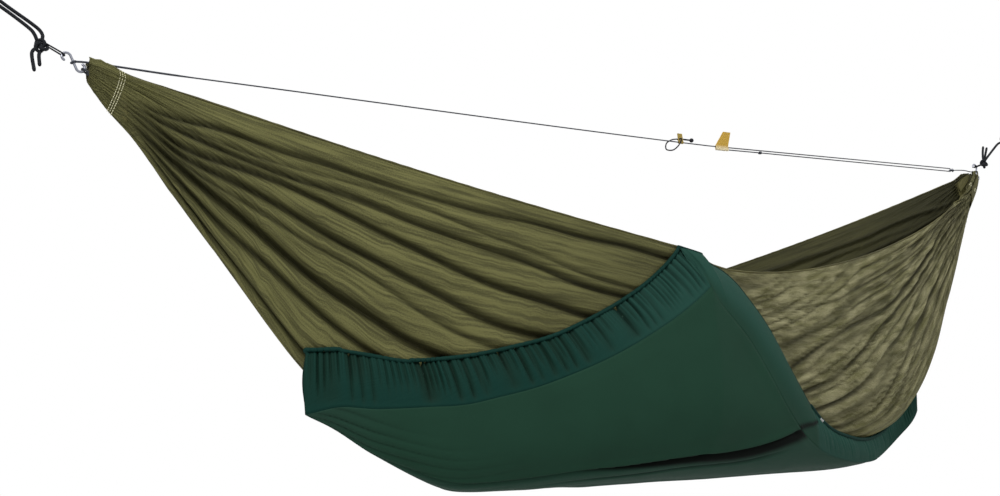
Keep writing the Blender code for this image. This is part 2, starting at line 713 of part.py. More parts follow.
class UnderCover:
    """The insulated cover under the cloth: shell, lining, filling, draw hems and side bindings."""

    def __init__(self, green, green_band, lining, filling, elastic, grey):
        self.green = green
        self.green_band = green_band
        self.lining = lining
        self.filling = filling
        self.elastic = elastic
        self.grey = grey

    def edge(self, table, t):
        """(distance, share) at t along an edge table that is tied to the rim corner."""
        shift = CORNER_AT - EDGE_TABLE_CORNER
        us = [u + shift for u, _ in table]
        position = us[0] + (us[-1] - us[0]) * t
        return position, smooth_through([(u + shift, share) for u, share in table], position)

    def patch(self, head_table, side_table, p, q):
        """(distance, share) inside the four edges: p from head to foot edge, q from near to far edge."""

        def head(t):
            return np.array(self.edge(head_table, 1 - t))

        def side(t):
            return np.array(self.edge(side_table, t))

        def turned(pair):
            return np.array((SPAN - pair[0], -pair[1]))

        near, far = side(p), turned(side(1 - p))
        start, end = head(q), turned(head(1 - q))
        corners = (
            (1 - p) * (1 - q) * (side(0) + head(0)) / 2
            + p * (1 - q) * (side(1) + turned(head(1))) / 2
            + (1 - p) * q * (turned(side(1)) + head(1)) / 2
            + p * q * (turned(side(0)) + turned(head(0))) / 2
        )
        return (1 - q) * near + q * far + (1 - p) * start + p * end - corners

    def hull_grid(self, surface, head_table, side_table, draw_in):
        """Points of a hull inside the edges, and the hull's normals there."""
        points, normals = [], []
        for i in range(COVER_CELLS_LONG + 1):
            row, normal_row = [], []
            for j in range(COVER_CELLS_SHORT + 1):
                u, share = self.patch(
                    head_table, side_table, i / COVER_CELLS_LONG, j / COVER_CELLS_SHORT
                )
                u -= draw_in * ease(u, FOOT_DRAWN_FROM, SPAN - COVER_TOP_EDGE[0][0])
                row.append(surface(u, share))
                normal_row.append(outward(surface, u, share))
            points.append(row)
            normals.append(normal_row)
        for i, j, k, m in ((-1, 0, -2, 1), (0, -1, 1, -2)):
            middle = (points[k][j] + points[i][m]) / 2
            points[i][j] = middle.lerp(points[i][j], CORNER_KEPT)
            normals[i][j] = (normals[k][j] + normals[i][m]).normalized()
        return points, normals

    def lifted(self, grid, normals, height):
        """The grid moved outwards by a height along its normals."""
        return [
            [p + n * height for p, n in zip(row, normal_row)]
            for row, normal_row in zip(grid, normals)
        ]

    def drawn_in(self, grid, share):
        """The grid with its border moved a share of a cell inwards along the mesh."""
        rows, columns = len(grid), len(grid[0])
        across = [
            [row[0].lerp(row[1], share), *row[1:-1], row[-1].lerp(row[-2], share)] for row in grid
        ]
        first = [across[0][j].lerp(across[1][j], share) for j in range(columns)]
        last = [across[rows - 1][j].lerp(across[rows - 2][j], share) for j in range(columns)]
        return [first, *across[1:-1], last]

    def bordered(self, face, rim_points):
        """The face grid with the hem as one more cell all round."""
        rows, columns = len(face), len(face[0])
        full = [[None] * (columns + 2) for _ in range(rows + 2)]
        for i in range(rows):
            for j in range(columns):
                full[i + 1][j + 1] = face[i][j]
            full[i + 1][0] = rim_points[i][0]
            full[i + 1][-1] = rim_points[i][-1]
        for j in range(columns):
            full[0][j + 1] = rim_points[0][j]
            full[-1][j + 1] = rim_points[-1][j]
        for i, a in ((0, 0), (-1, -1)):
            for j, b in ((0, 0), (-1, -1)):
                full[i][j] = rim_points[a][b] + (rim_points[a][b] - face[a][b]) * 0.02
        return full

    def vertex_normals(self, grid):
        """Normals of a grid's vertices, from their neighbours."""
        rows, columns = len(grid), len(grid[0])
        normals = []
        for i in range(rows):
            row = []
            for j in range(columns):
                along = grid[min(i + 1, rows - 1)][j] - grid[max(i - 1, 0)][j]
                around = grid[i][max(j - 1, 0)] - grid[i][min(j + 1, columns - 1)]
                row.append(along.cross(around).normalized())
            normals.append(row)
        return normals

    def build(self):
        """Makes the cover's layers and the tubes round its edge."""
        hem, hem_normals = self.hull_grid(
            cloth_point, COVER_TOP_EDGE, COVER_SIDE_HEM, FOOT_HEM_DRAWN_IN
        )
        face, _ = self.hull_grid(
            cover_point, COVER_LOWER_EDGE, COVER_SIDE_FOLD, FOOT_FOLD_DRAWN_IN
        )
        shell = self.bordered(face, self.lifted(hem, hem_normals, HEM_HEIGHT))
        shell_normals = self.vertex_normals(shell)
        slab("cover_shell", shell, self.lifted(shell, shell_normals, -COVER_THICKNESS), self.green)
        bottom = self.lifted(shell, shell_normals, -COVER_THICKNESS - LAYER_GAP)
        bottom = [row[2:-2] for row in bottom[2:-2]]
        lining_low = self.lifted(hem, hem_normals, HULL_CLEARANCE)
        lining_high = self.lifted(hem, hem_normals, HULL_CLEARANCE + LINING_THICKNESS)
        top = self.lifted(hem, hem_normals, HULL_CLEARANCE + LINING_THICKNESS + LAYER_GAP)
        slab(
            "cover_lining",
            self.drawn_in(lining_high, LINING_INSET),
            self.drawn_in(lining_low, LINING_INSET),
            self.lining,
        )
        slab("cover_filling", bottom, [row[1:-1] for row in top[1:-1]], self.filling)
        self.hems(hem, face, hem_normals, "foot", "near")
        turned = [[row[::-1] for row in grid[::-1]] for grid in (hem, face, hem_normals)]
        self.hems(*turned, "head", "far")

    def beside(self, hem, face, normals, cell, inner, radius, clearance):
        """The shift from the hem at a border cell to a tube outside it, clear of the shell's wall."""
        i, j = cell
        normal = normals[i][j]
        if inner[0] == i:
            along = hem[min(i + 1, len(hem) - 1)][j] - hem[max(i - 1, 0)][j]
        else:
            along = hem[i][min(j + 1, len(hem[0]) - 1)] - hem[i][max(j - 1, 0)]
        away = along.cross(normal).normalized()
        if away.dot(hem[i][j] - hem[inner[0]][inner[1]]) < 0:
            away = -away
        step = (1, 0) if inner[0] == i else (0, 1)
        lean = 0.0
        for k in (-1, 0, 1):
            row = min(max(i + k * step[0], 0), len(hem) - 1)
            column = min(max(j + k * step[1], 0), len(hem[0]) - 1)
            wall = face[row][column] - hem[i][j] - normal * HEM_HEIGHT
            lean = max(lean, math.atan2(wall.dot(away), wall.dot(normal)))
        rise = radius + TUBE_CLEARANCE - HEM_HEIGHT
        return away * (radius + clearance + rise * math.sin(lean)) / math.cos(lean)

    def hems(self, hem, face, normals, end, edge):
        """An end's draw tube with its elastic and bead, and the bound hem of a side."""
        rows, columns = len(hem), len(hem[0])
        foot = rows - 1
        cells = [((i, 0), (i, 1)) for i in range(COVER_CORNER_CELL - 1, foot)]
        cells += [((foot, j), (foot - 1, j)) for j in range(1, columns)]
        lift = DRAW_TUBE_RADIUS + TUBE_CLEARANCE

        def beside_at(cell, inner):
            shift = self.beside(
                hem, face, normals, cell, inner, DRAW_TUBE_RADIUS, WALL_CLEARANCE
            )
            return hem[cell[0]][cell[1]] + normals[cell[0]][cell[1]] * lift + shift

        line = [beside_at(*pair) for pair in cells]
        one, other = (
            self.beside(hem, face, normals, (foot, 0), inner, DRAW_TUBE_RADIUS, WALL_CLEARANCE)
            for inner in ((foot, 1), (foot - 1, 0))
        )
        miter = (one + other) / (1 + one.normalized().dot(other.normalized()))
        corner = hem[foot][0] + normals[foot][0] * lift + miter
        line.insert(foot - COVER_CORNER_CELL + 1, corner)
        tail = (line[0] - line[1]).normalized()
        band = line[1:]
        cord = [band[0] + tail * BEAD_TAIL] + band
        cord[-1] = cord[-1].lerp(cord[-2], 0.1)
        bead = [band[0] + tail * (BEAD_STAND_OFF + BEAD_LENGTH * k / 2) for k in range(3)]
        side = []
        for i in range(COVER_CORNER_CELL - 1):
            shift = self.beside(
                hem, face, normals, (i, 0), (i, 1), BINDING_RADIUS, BINDING_CLEARANCE
            )
            side.append(hem[i][0] + shift + normals[i][0] * (BINDING_RADIUS + TUBE_CLEARANCE))
        side[0] = side[0].lerp(side[1], 0.3)
        swept(
            f"cover_{end}_draw_tube",
            band,
            DRAW_TUBE_RADIUS,
            self.green_band,
            sides=6,
            bore=DRAW_TUBE_BORE,
        )
        swept(f"cover_{end}_elastic", cord, ELASTIC_RADIUS, self.elastic, sides=6)
        swept(
            f"cover_{end}_bead",
            bead,
            BEAD_RADIUS,
            self.grey,
            sides=12,
            bore=ELASTIC_RADIUS + HOLD_GAP,
        )
        swept(f"cover_{edge}_binding", side, BINDING_RADIUS, self.green_band, sides=6)


class Suspension:
    """The anchor rings, ropes, hooks and gathering cords at the two ends."""

    def __init__(self, steel, hook_steel, rope, cord):
        self.steel = steel
        self.hook_steel = hook_steel
        self.rope = rope
        self.cord = cord

    def along_pull(self, at_foot, along, across=0.0):
        """A point on or beside the line of pull of an end."""
        point = HEAD_END + PULL * along + in_plane(math.pi / 2 - HANG_ANGLE) * across
        if at_foot:
            return half_turned(point)
        return point

    def ring(self, name, at_foot):
        """An anchor ring that stands in the plane of the pull."""
        centre = half_turned(Vector((0, 0, 0))) if at_foot else Vector((0, 0, 0))
        pull = Vector((-PULL.x, 0.0, PULL.z)) if at_foot else PULL
        points = arc(centre, pull, ACROSS, 0.0, 2 * math.pi * 27 / 28, 28, RING_RADIUS)
        return swept(name, points, RING_BAR_RADIUS, self.steel, sides=8, closed=True)

    def bight(self, at_foot):
        """The rope's turn round the ring's bar, from its upper run to its lower one."""
        reach = RING_BAR_RADIUS + RING_GAP + ROPE_RADIUS
        across = in_plane(math.pi / 2 - HANG_ANGLE)
        turn = arc(
            HEAD_END + PULL * RING_DISTANCE,
            across,
            PULL,
            0.0,
            math.pi,
            9,
            BIGHT_HALF_HEIGHT,
            reach,
        )
        return [half_turned(p) for p in turn] if at_foot else turn

    def knot_centre(self, at_foot, position):
        """The middle of a knot on an end's line of pull."""
        return self.along_pull(at_foot, *position)

    def head_rope(self):
        """A doubled rope from the ring to its knot, the knot's two tails and the eye on the hook."""
        knot = self.knot_centre(False, HEAD_KNOT)

        def near_knot(x, y):
            return self.along_pull(False, HEAD_KNOT[0] + x, HEAD_KNOT[1] + y)

        upper = [
            knot_lap(knot, HEAD_KNOT_LOBE, math.radians(86)),
            near_knot(0.0090, 0.0195),
            near_knot(0.0200, 0.0258),
            self.along_pull(False, 0.130, 0.0046),
            self.along_pull(False, 0.187, 0.0046),
            self.along_pull(False, 0.240, 0.0085),
        ]
        lower = [
            self.along_pull(False, 0.240, -0.0085),
            self.along_pull(False, 0.187, -0.0046),
            self.along_pull(False, 0.130, -0.0060),
            near_knot(0.0240, 0.0130),
            knot_lap(knot, HEAD_KNOT_LOBE, math.radians(124)),
        ]
        strands = route(upper, 12) + self.bight(False) + route(lower, 11)
        tails = (
            (216, ((-0.0150, -0.0120), (-0.0170, -0.0220), (-0.0130, -0.0520))),
            (266, ((-0.0040, -0.0200), (-0.0030, -0.0400))),
        )
        pieces = [
            knot_body(knot, HEAD_KNOT_LOBE, self.rope),
            swept("strands", strands, ROPE_RADIUS, self.rope),
        ]
        pieces += self.tails(knot, HEAD_KNOT_LOBE, tails)
        pieces.append(
            self.hook_eye(
                HEAD_HOOK_MIDDLE + in_plane(HEAD_HOOK_LEAN) * HOOK_HALF_SPREAD,
                knot_end=knot + in_plane(math.radians(46)) * KNOT_RADIUS,
                radius=LASHING_RADIUS,
            )
        )
        return fused("head_rope", pieces)

    def foot_rope(self):
        """A rope tied round the ring, with a knot, two tails and an eye at the hook."""
        knot = self.knot_centre(True, FOOT_KNOT)
        anchor = self.knot_centre(True, ANCHOR_KNOT)
        strand = [
            knot_lap(knot, FOOT_KNOT_LOBE, math.radians(45)),
            self.along_pull(True, 0.0996, 0.0028),
            self.along_pull(True, 0.160, 0.0060),
            self.along_pull(True, 0.200, 0.0066),
            anchor + in_plane(math.radians(214)) * (KNOT_RADIUS + KNOT_STRAND_ORBIT),
        ]
        loop = self.bight(True)
        ends = [
            anchor + in_plane(math.radians(34 + turn)) * KNOT_RADIUS * 1.3 for turn in (38, -38)
        ]
        loop = [ends[0], *loop, ends[1]]
        tails = (
            (100, ((0.0020, 0.0200), (0.0080, 0.0400), (0.0160, 0.0580))),
            (66, ((0.0110, 0.0200), (0.0210, 0.0370), (0.0330, 0.0560))),
        )
        pieces = [
            knot_body(knot, FOOT_KNOT_LOBE, self.rope),
            swept("strand", route(strand, 10), ROPE_RADIUS, self.rope),
            knot_body(anchor, math.radians(214), self.rope),
            swept("loop", loop, ROPE_RADIUS, self.rope),
        ]
        pieces += self.tails(knot, FOOT_KNOT_LOBE, tails)
        pieces.append(
            self.hook_eye(
                FOOT_HOOK_AT + in_plane(FOOT_HOOK_LEAN) * HOOK_HALF_SPREAD,
                knot_end=knot + in_plane(math.radians(197)) * KNOT_RADIUS,
                radius=FOOT_EYE_RADIUS,
            )
        )
        return fused("foot_rope", pieces)

    def tails(self, knot, lobe, tails):
        """The cut ends that stand out of a knot."""
        pieces = []
        for angle, offsets in tails:
            points = [knot_lap(knot, lobe, math.radians(angle))]
            points += [knot + Vector((x, 0.0, z)) for x, z in offsets]
            pieces.append(swept("tail", route(points, 6), ROPE_RADIUS, self.rope))
        return pieces

    def hook_eye(self, curl, knot_end, radius):
        """The small loop that goes from a knot round a hook's bar and back."""
        away = (knot_end - curl).normalized()
        bar_point = curl + away * HOOK_CURL_RADIUS
        bend = HOOK_BAR_RADIUS + HOLD_GAP + radius
        legs = [bar_point + away * 0.006 + ACROSS * bend, knot_end + ACROSS * KNOT_STRAND_ORBIT]
        points = eyelet_path(bar_point, away, bend, legs)
        return swept("eye", points, radius, self.rope)

    def gather_cord(self, name, at_foot):
        """The cord that holds an end's folds together and hangs in the hook."""
        bar_point, into = gather_cord_line(at_foot)
        bend = HOOK_BAR_RADIUS + HOLD_GAP + GATHER_CORD_RADIUS
        legs = [
            bar_point + ACROSS * bend + into * GATHER_CORD_REACH * share
            for share in (0.08, 0.5, 1.0)
        ]
        points = eyelet_path(bar_point, into, bend, legs)
        return tube(name, points, GATHER_CORD_RADIUS, self.cord)

    def build(self):
        """Makes both ends' rings, ropes, hooks and gathering cords."""
        self.ring("head_anchor_ring", at_foot=False)
        self.ring("foot_anchor_ring", at_foot=True)
        self.head_rope()
        self.foot_rope()
        head_hook = hook_points(HEAD_HOOK_MIDDLE, HEAD_HOOK_LEAN)
        foot_hook = hook_points(FOOT_HOOK_AT, FOOT_HOOK_LEAN)
        swept("head_hook", head_hook, HOOK_BAR_RADIUS, self.hook_steel)
        swept("foot_hook", foot_hook, HOOK_BAR_RADIUS, self.hook_steel)
        self.gather_cord("head_gather_cord", at_foot=False)
        self.gather_cord("foot_gather_cord", at_foot=True)


RUN_START = RIDGE_LINE[-1][0]
RUN_RISE = LINK_HEIGHT + RUN_ABOVE_LINK - RIDGE_LINE[-1][1]
RUN_SLOPE = RUN_RISE / (LINK_AT - LINK_RADIUS - RUN_START)


def run_height(u):
    """Height of the ridge cord's straight run at a distance from the head end."""
    return RIDGE_LINE[-1][1] + RUN_SLOPE * (u - RUN_START)


def run_point(u, below=0.0):
    """A point on the straight run, or below it on the cord's return."""
    return place(u, 0.0, run_height(u) - below)


def sag_point(u):
    """A point on the cord before its straight run."""
    return place(u, 0.0, smooth_through(RIDGE_LINE, u))


def blade_foot(cord_at):
    """Where a plate's lower edge lies inside the wall of the sleeve round the cord."""
    return cord_at + Vector((0, 0, RIDGE_RADIUS + HOLD_GAP + TAB_WALL * BLADE_SUNK))


def eyelet_centre():
    """The middle of the eyelet that holds the gear loop."""
    along, up = GEAR_EYELET
    return blade_foot(sag_point(GEAR_START)) + Vector((along, 0.0, up))


class RidgeCord:
    """The adjustable cord between the two hooks, with its pull tab and its gear loop."""

    def __init__(self, cord, steel, yellow, webbing, black):
        self.cord = cord
        self.steel = steel
        self.yellow = yellow
        self.webbing = webbing
        self.black = black

    def eye_round_bar(self, middle, bar_direction, radius):
        """A small closed eye round a bar."""
        first = ACROSS
        second = bar_direction.cross(ACROSS)
        points = arc(middle, first, second, 0.0, 2 * math.pi * 11 / 12, 12, radius)
        return swept("eye", points, EYE_CORD_RADIUS, self.cord, closed=True)

    def main_cord(self):
        """The cord from the head hook through the pull tab to the foot link and back."""
        bar = hook_bar_direction(HEAD_HOOK_LEAN)
        reach = HOOK_BAR_RADIUS + HOLD_GAP + EYE_CORD_RADIUS
        towards = bar.cross(ACROSS)
        towards = towards if towards.x > 0 else -towards
        eye = self.eye_round_bar(HEAD_HOOK_MIDDLE, bar, reach)
        sag = [HEAD_HOOK_MIDDLE + towards * reach] + [place(u, 0, z) for u, z in RIDGE_LINE]
        points = route(sag, 40)
        swell = [RIDGE_RADIUS]
        for point in points[1:]:
            thin = ease(point.x - HEAD_END.x, SPLICE_END, SPLICE_END + SPLICE_TAPER)
            swell.append(RIDGE_RADIUS * (SPLICE_SWELL + (1 - SPLICE_SWELL) * thin))
        left_bar = LINK_AT - LINK_RADIUS
        run = [run_point(RUN_START + (left_bar - RUN_START) * k / 8) for k in range(1, 9)]
        half_height = run[-1].z - HEAD_END.z - LINK_HEIGHT
        turn = arc(
            place(left_bar, 0, LINK_HEIGHT),
            Vector((0, 0, 1)),
            Vector((1, 0, 0)),
            math.pi / 8,
            math.pi,
            8,
            half_height,
            LINK_BAR_RADIUS + HOLD_GAP + RIDGE_RADIUS,
        )
        back = [
            turn[-1].lerp(run_point(RETURN_PARALLEL_END, RETURN_GAP), k / 5) for k in range(1, 6)
        ]
        back.append(run_point((RETURN_PARALLEL_END + RETURN_END) / 2, RETURN_GAP))
        back.append(run_point(RETURN_END, RETURN_GAP))
        rest = run + turn + back
        radii = swell + [RIDGE_RADIUS] * len(rest)
        cord = swept("cord", points + rest, radii, self.cord)
        return fused("ridge_cord", [cord, eye])

    def foot_leader(self):
        """The short cord from the link to the foot hook, with an eye at each end."""
        bar = hook_bar_direction(FOOT_HOOK_LEAN)
        towards = bar.cross(ACROSS)
        towards = towards if towards.x < 0 else -towards
        reach = HOOK_BAR_RADIUS + HOLD_GAP + EYE_CORD_RADIUS
        link_reach = LINK_BAR_RADIUS + HOLD_GAP + EYE_CORD_RADIUS
        right_bar = place(LINK_AT + LINK_RADIUS, 0, LINK_HEIGHT)
        middle = [place(SPAN - from_foot, 0, height) for from_foot, height in LEADER_LINE]
        chosen = [right_bar + Vector((link_reach, 0, 0)), *middle, FOOT_HOOK_AT + towards * reach]
        points = route(chosen, 9)
        pieces = [
            swept("cord", points, RIDGE_RADIUS, self.cord),
            self.eye_round_bar(FOOT_HOOK_AT, bar, reach),
            self.eye_round_bar_across(right_bar, link_reach),
        ]
        return fused("ridge_foot_leader", pieces)

    def eye_round_bar_across(self, middle, radius):
        """A small closed eye that stands upright round a bar that lies across the hammock."""
        points = arc(
            middle, Vector((1, 0, 0)), Vector((0, 0, 1)), 0.0, 2 * math.pi * 11 / 12, 12, radius
        )
        return swept("eye", points, EYE_CORD_RADIUS, self.cord, closed=True)

    def stop_knot(self):
        """The coil on the returning cord that stops the pull tab."""
        radius = RIDGE_RADIUS + HOLD_GAP + STOP_KNOT_WIRE
        pitch = 2 * STOP_KNOT_WIRE + SEAT_GAP
        count = 9 * STOP_KNOT_TURNS
        along = (run_point(2.0) - run_point(1.7)).normalized()
        up = ACROSS.cross(along)
        middle = run_point(STOP_KNOT_AT, RETURN_GAP)
        points = []
        for k in range(count + 1):
            turn = 2 * math.pi * k / 9
            shift = along * pitch * (k / 9 - STOP_KNOT_TURNS / 2)
            points.append(
                middle + shift + (ACROSS * math.cos(turn) + up * math.sin(turn)) * radius
            )
        return tube("ridge_stop_knot", points, STOP_KNOT_WIRE, self.cord)

    def blade(self, outline, origin, thickness, material):
        """A flat upright plate with the given outline."""
        vertices = [
            origin + Vector((x, side * thickness / 2, z)) for side in (-1, 1) for x, z in outline
        ]
        count = len(outline)
        faces = [tuple(range(count)), tuple(range(count, 2 * count))]
        faces += [(k, (k + 1) % count, (k + 1) % count + count, k + count) for k in range(count)]
        return new_object("blade", mesh_of("blade", vertices, faces), material)

    def sleeve(self, cord_point, start, length, strands, material):
        """A rounded block round the cord's runs, and its bores."""
        bore = RIDGE_RADIUS + HOLD_GAP
        half = bore + TAB_WALL
        depth = RETURN_GAP * (strands - 1)
        low = cord_point(start)
        middle = cord_point(start + length / 2)
        slope = (cord_point(start + length) - low).normalized()
        bm = bmesh.new()
        bmesh.ops.create_cube(bm, size=1.0)
        size = Vector((length, 2 * half, 2 * half + depth))
        bmesh.ops.scale(bm, vec=size, verts=bm.verts)
        bmesh.ops.bevel(
            bm,
            geom=bm.edges,
            offset=TAB_WALL * 0.8,
            segments=2,
            profile=0.5,
            affect="EDGES",
        )
        turn = Vector((1, 0, 0)).rotation_difference(slope).to_matrix().to_4x4()
        shift = Matrix.Translation(middle - Vector((0, 0, depth / 2)))
        bmesh.ops.transform(bm, matrix=shift @ turn, verts=bm.verts)
        mesh = bpy.data.meshes.new("sleeve")
        bm.to_mesh(mesh)
        bm.free()
        body = new_object("sleeve", mesh, material)
        over = slope * 0.005
        holes = []
        for k in range(strands):
            drop = Vector((0, 0, RETURN_GAP * k))
            ends = [low - over - drop, low + slope * length + over - drop]
            holes.append(swept("hole", ends, bore / math.cos(math.pi / 12), material, sides=12))
        return body, holes

    def pull_tab(self):
        """The yellow tab with a bore for each run of the cord."""
        body, holes = self.sleeve(run_point, TAB_START, TAB_LENGTH, 2, self.yellow)
        foot = blade_foot(run_point(TAB_START))
        tab = joined(body, self.blade(TAB_BLADE, foot, TAB_BLADE_THICKNESS, self.yellow), "UNION")
        for hole in holes:
            joined(tab, hole, "DIFFERENCE")
        return fused("pull_tab", [tab])

    def gear_tab(self):
        """The webbing flag that carries the gear loop, with an eyelet."""
        body, holes = self.sleeve(sag_point, GEAR_START, GEAR_LENGTH, 1, self.webbing)
        foot = blade_foot(sag_point(GEAR_START))
        tab = joined(body, self.blade(GEAR_BLADE, foot, TAB_BLADE_THICKNESS, self.webbing), "UNION")
        eyelet = eyelet_centre()
        reach = ACROSS * 0.01
        holes.append(
            swept(
                "eyelet",
                [eyelet - reach, eyelet + reach],
                GEAR_CORD_RADIUS + 2 * HOLD_GAP,
                self.webbing,
                sides=12,
            )
        )
        for hole in holes:
            joined(tab, hole, "DIFFERENCE")
        return fused("gear_tab", [tab])

    def gear_loop(self):
        """The cord loop that hangs from the gear tab's eyelet."""
        hang = in_plane(GEAR_LOOP_TILT)
        wide = in_plane(GEAR_LOOP_TILT + math.pi / 2)
        eyelet = eyelet_centre()
        near = RIDGE_RADIUS + TAB_WALL + GEAR_CORD_RADIUS + 3 * HOLD_GAP
        offsets = (
            (0.000, 0.00, -near),
            (0.010, 0.30, -near - 0.001),
            (0.350, 0.95, -near),
            (0.750, 1.00, -near * 0.6),
            (1.000, 0.00, 0.0),
            (0.750, -1.00, near * 0.6),
            (0.350, -0.95, near),
            (0.010, -0.30, near + 0.001),
            (0.000, 0.00, near),
        )
        points = [
            eyelet + hang * GEAR_LOOP_LENGTH * a + wide * GEAR_LOOP_HALF_WIDTH * w + ACROSS * y
            for a, w, y in offsets
        ]
        return swept(
            "gear_loop",
            route(points, 30, closed=True),
            GEAR_CORD_RADIUS,
            self.black,
            sides=6,
            closed=True,
        )

    def toggle(self):
        """The ball on a short thick cord beside the gear tab."""
        start = sag_point(GEAR_START + GEAR_LENGTH + SEAT_GAP) + Vector((0, 0, TOGGLE_HEIGHT))
        ball_at = start + Vector((TOGGLE_NECK_LENGTH, 0.0, 0.0))
        neck = swept(
            "neck",
            [start, start.lerp(ball_at, 0.5) + Vector((0, 0, 0.001)), ball_at],
            TOGGLE_NECK_RADIUS,
            self.black,
        )
        bm = bmesh.new()
        bmesh.ops.create_uvsphere(bm, u_segments=12, v_segments=8, radius=TOGGLE_RADIUS)
        bmesh.ops.translate(bm, vec=ball_at, verts=bm.verts)
        mesh = bpy.data.meshes.new("ball")
        bm.to_mesh(mesh)
        bm.free()
        ball = new_object("ball", mesh, self.black)
        return fused("gear_toggle", [ball, neck])

    def link(self):
        """The ring that joins the ridge cord to its leader."""
        points = arc(
            place(LINK_AT, 0, LINK_HEIGHT),
            Vector((1, 0, 0)),
            ACROSS,
            0.0,
            2 * math.pi * 15 / 16,
            16,
            LINK_RADIUS,
        )
        return swept("ridge_link", points, LINK_BAR_RADIUS, self.steel, sides=6, closed=True)

    def build(self):
        """Makes the ridge cord and what is on it."""
        self.main_cord()
        self.link()
        self.foot_leader()
        self.stop_knot()
        self.pull_tab()
        self.gear_tab()
        self.gear_loop()
        self.toggle()


def pivot(name, position, parent=None):
    """An empty on the axis of a joint."""
    empty = bpy.data.objects.new(name, None)
    bpy.context.collection.objects.link(empty)
    empty.parent = parent
    empty.location = position - parent.matrix_world.translation if parent else position
    bpy.context.view_layer.update()
    return empty


def carried_by(empty, objects):
    """Parents objects to an empty, and leaves them where they are."""
    for obj in objects:
        obj.parent = empty
        obj.matrix_parent_inverse = empty.matrix_world.inverted()


def hang_on_joints():
    """Parents each moving piece to an empty on its joint's axis."""
    objects = bpy.data.objects
    on_tab = [objects["pull_tab"]]
    on_gear = [objects["gear_tab"], objects["gear_toggle"]]
    on_loop = [objects["gear_loop"]]
    still = [objects["head_anchor_ring"], objects["foot_anchor_ring"], *on_tab, *on_gear, *on_loop]
    rest = [obj for obj in objects if obj not in still]
    swing = pivot("swing_pivot", -PULL * RING_RADIUS)
    tab = pivot("tab_slide_pivot", run_point(TAB_START), swing)
    gear = pivot("gear_slide_pivot", sag_point(GEAR_START), swing)
    loop = pivot("gear_loop_pivot", eyelet_centre(), gear)
    for empty, pieces in ((swing, rest), (tab, on_tab), (gear, on_gear), (loop, on_loop)):
        carried_by(empty, pieces)


def main():
    """Clears the scene and makes the hammock."""
    for obj in list(bpy.data.objects):
        bpy.data.objects.remove(obj)
    olive = colour("olive_cloth", (0.122, 0.115, 0.042), 0.62)
    olive_dark = colour("olive_hem", (0.085, 0.080, 0.028), 0.65)
    green = colour("cover_face", (0.020, 0.048, 0.035), 0.55)
    green_band = colour("cover_band", (0.014, 0.062, 0.050), 0.5)
    lining = colour("cover_lining", (0.030, 0.060, 0.045), 0.7)
    filling = colour("cover_filling", (0.62, 0.64, 0.62), 0.95)
    elastic = colour("elastic", (0.02, 0.03, 0.03), 0.8)
    grey = colour("bead", (0.42, 0.43, 0.42), 0.45)
    steel = colour("ring_steel", (0.55, 0.56, 0.58), 0.3, 1.0)
    hook_steel = colour("hook_steel", (0.45, 0.46, 0.50), 0.28, 1.0)
    rope = colour("rope", (0.012, 0.014, 0.018), 0.7)
    cord = colour("ridge_cord", (0.045, 0.050, 0.062), 0.65)
    yellow = colour("tab_yellow", (0.58, 0.36, 0.035), 0.6)
    webbing = colour("webbing", (0.42, 0.30, 0.05), 0.7)
    black = colour("gear_cord", (0.015, 0.015, 0.017), 0.7)
    Cloth(olive, olive_dark).build()
    UnderCover(green, green_band, lining, filling, elastic, grey).build()
    Suspension(steel, hook_steel, rope, cord).build()
    RidgeCord(cord, hook_steel, yellow, webbing, black).build()
    hang_on_joints()


main()
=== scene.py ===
"""The looks of a gathered-end camping hammock with an insulated under-cover that hangs diagonally.

The cloth, the cover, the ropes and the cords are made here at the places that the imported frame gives
them. Lengths are in metres. +X runs from the head end to the foot end and +Z is up, and the origin is
the centre of the head anchor ring.
"""

import logging
import math
from abc import ABC, abstractmethod
from dataclasses import dataclass
from enum import Enum
from typing import Callable, Sequence

import bmesh
import bpy
import numpy as np
from mathutils import Matrix, Vector


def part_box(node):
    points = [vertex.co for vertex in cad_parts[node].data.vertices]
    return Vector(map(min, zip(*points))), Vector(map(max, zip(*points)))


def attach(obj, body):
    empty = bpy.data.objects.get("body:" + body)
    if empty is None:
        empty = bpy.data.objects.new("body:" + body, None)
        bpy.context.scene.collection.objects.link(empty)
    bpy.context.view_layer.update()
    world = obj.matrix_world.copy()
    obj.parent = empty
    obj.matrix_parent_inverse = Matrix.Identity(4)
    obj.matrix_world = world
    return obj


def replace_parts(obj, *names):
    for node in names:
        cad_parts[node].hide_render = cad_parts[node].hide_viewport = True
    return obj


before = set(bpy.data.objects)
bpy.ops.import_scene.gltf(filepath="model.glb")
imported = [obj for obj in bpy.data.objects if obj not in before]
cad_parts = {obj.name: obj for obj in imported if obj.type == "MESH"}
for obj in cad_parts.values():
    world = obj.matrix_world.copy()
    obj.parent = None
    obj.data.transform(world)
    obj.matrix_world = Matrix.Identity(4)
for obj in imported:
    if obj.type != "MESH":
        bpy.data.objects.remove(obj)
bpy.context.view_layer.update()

LOG = logging.getLogger("hammock")
Array = np.ndarray
Colour = tuple[float, float, float]

UP = np.array((0.0, 0.0, 1.0))
ACROSS = np.array((0.0, 1.0, 0.0))
TO_FOOT = np.array((1.0, 0.0, 0.0))
FINE_UV = "fine"  # the UV map, in metres, that cloth and cords carry


class Body(Enum):
    """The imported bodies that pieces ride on."""

    ANCHORS = "anchors"
    HAMMOCK = "hammock"
    PULL_TAB = "pull_tab"
    GEAR_TAB = "gear_tab"
    GEAR_LOOP = "gear_loop"


class End(Enum):
    """The hammock's two ends."""

    HEAD = "head"
    FOOT = "foot"


def ease(x: Array | float, start: float, end: float) -> Array:
    """A smooth step.

    Args:
        x: Where it is read.
        start: Where it leaves 0.
        end: Where it reaches 1.

    Returns:
        0 before start, 1 after end, and a smooth rise between them.
    """
    t = np.clip((np.asarray(x, float) - start) / (end - start), 0.0, 1.0)
    return t * t * (3 - 2 * t)


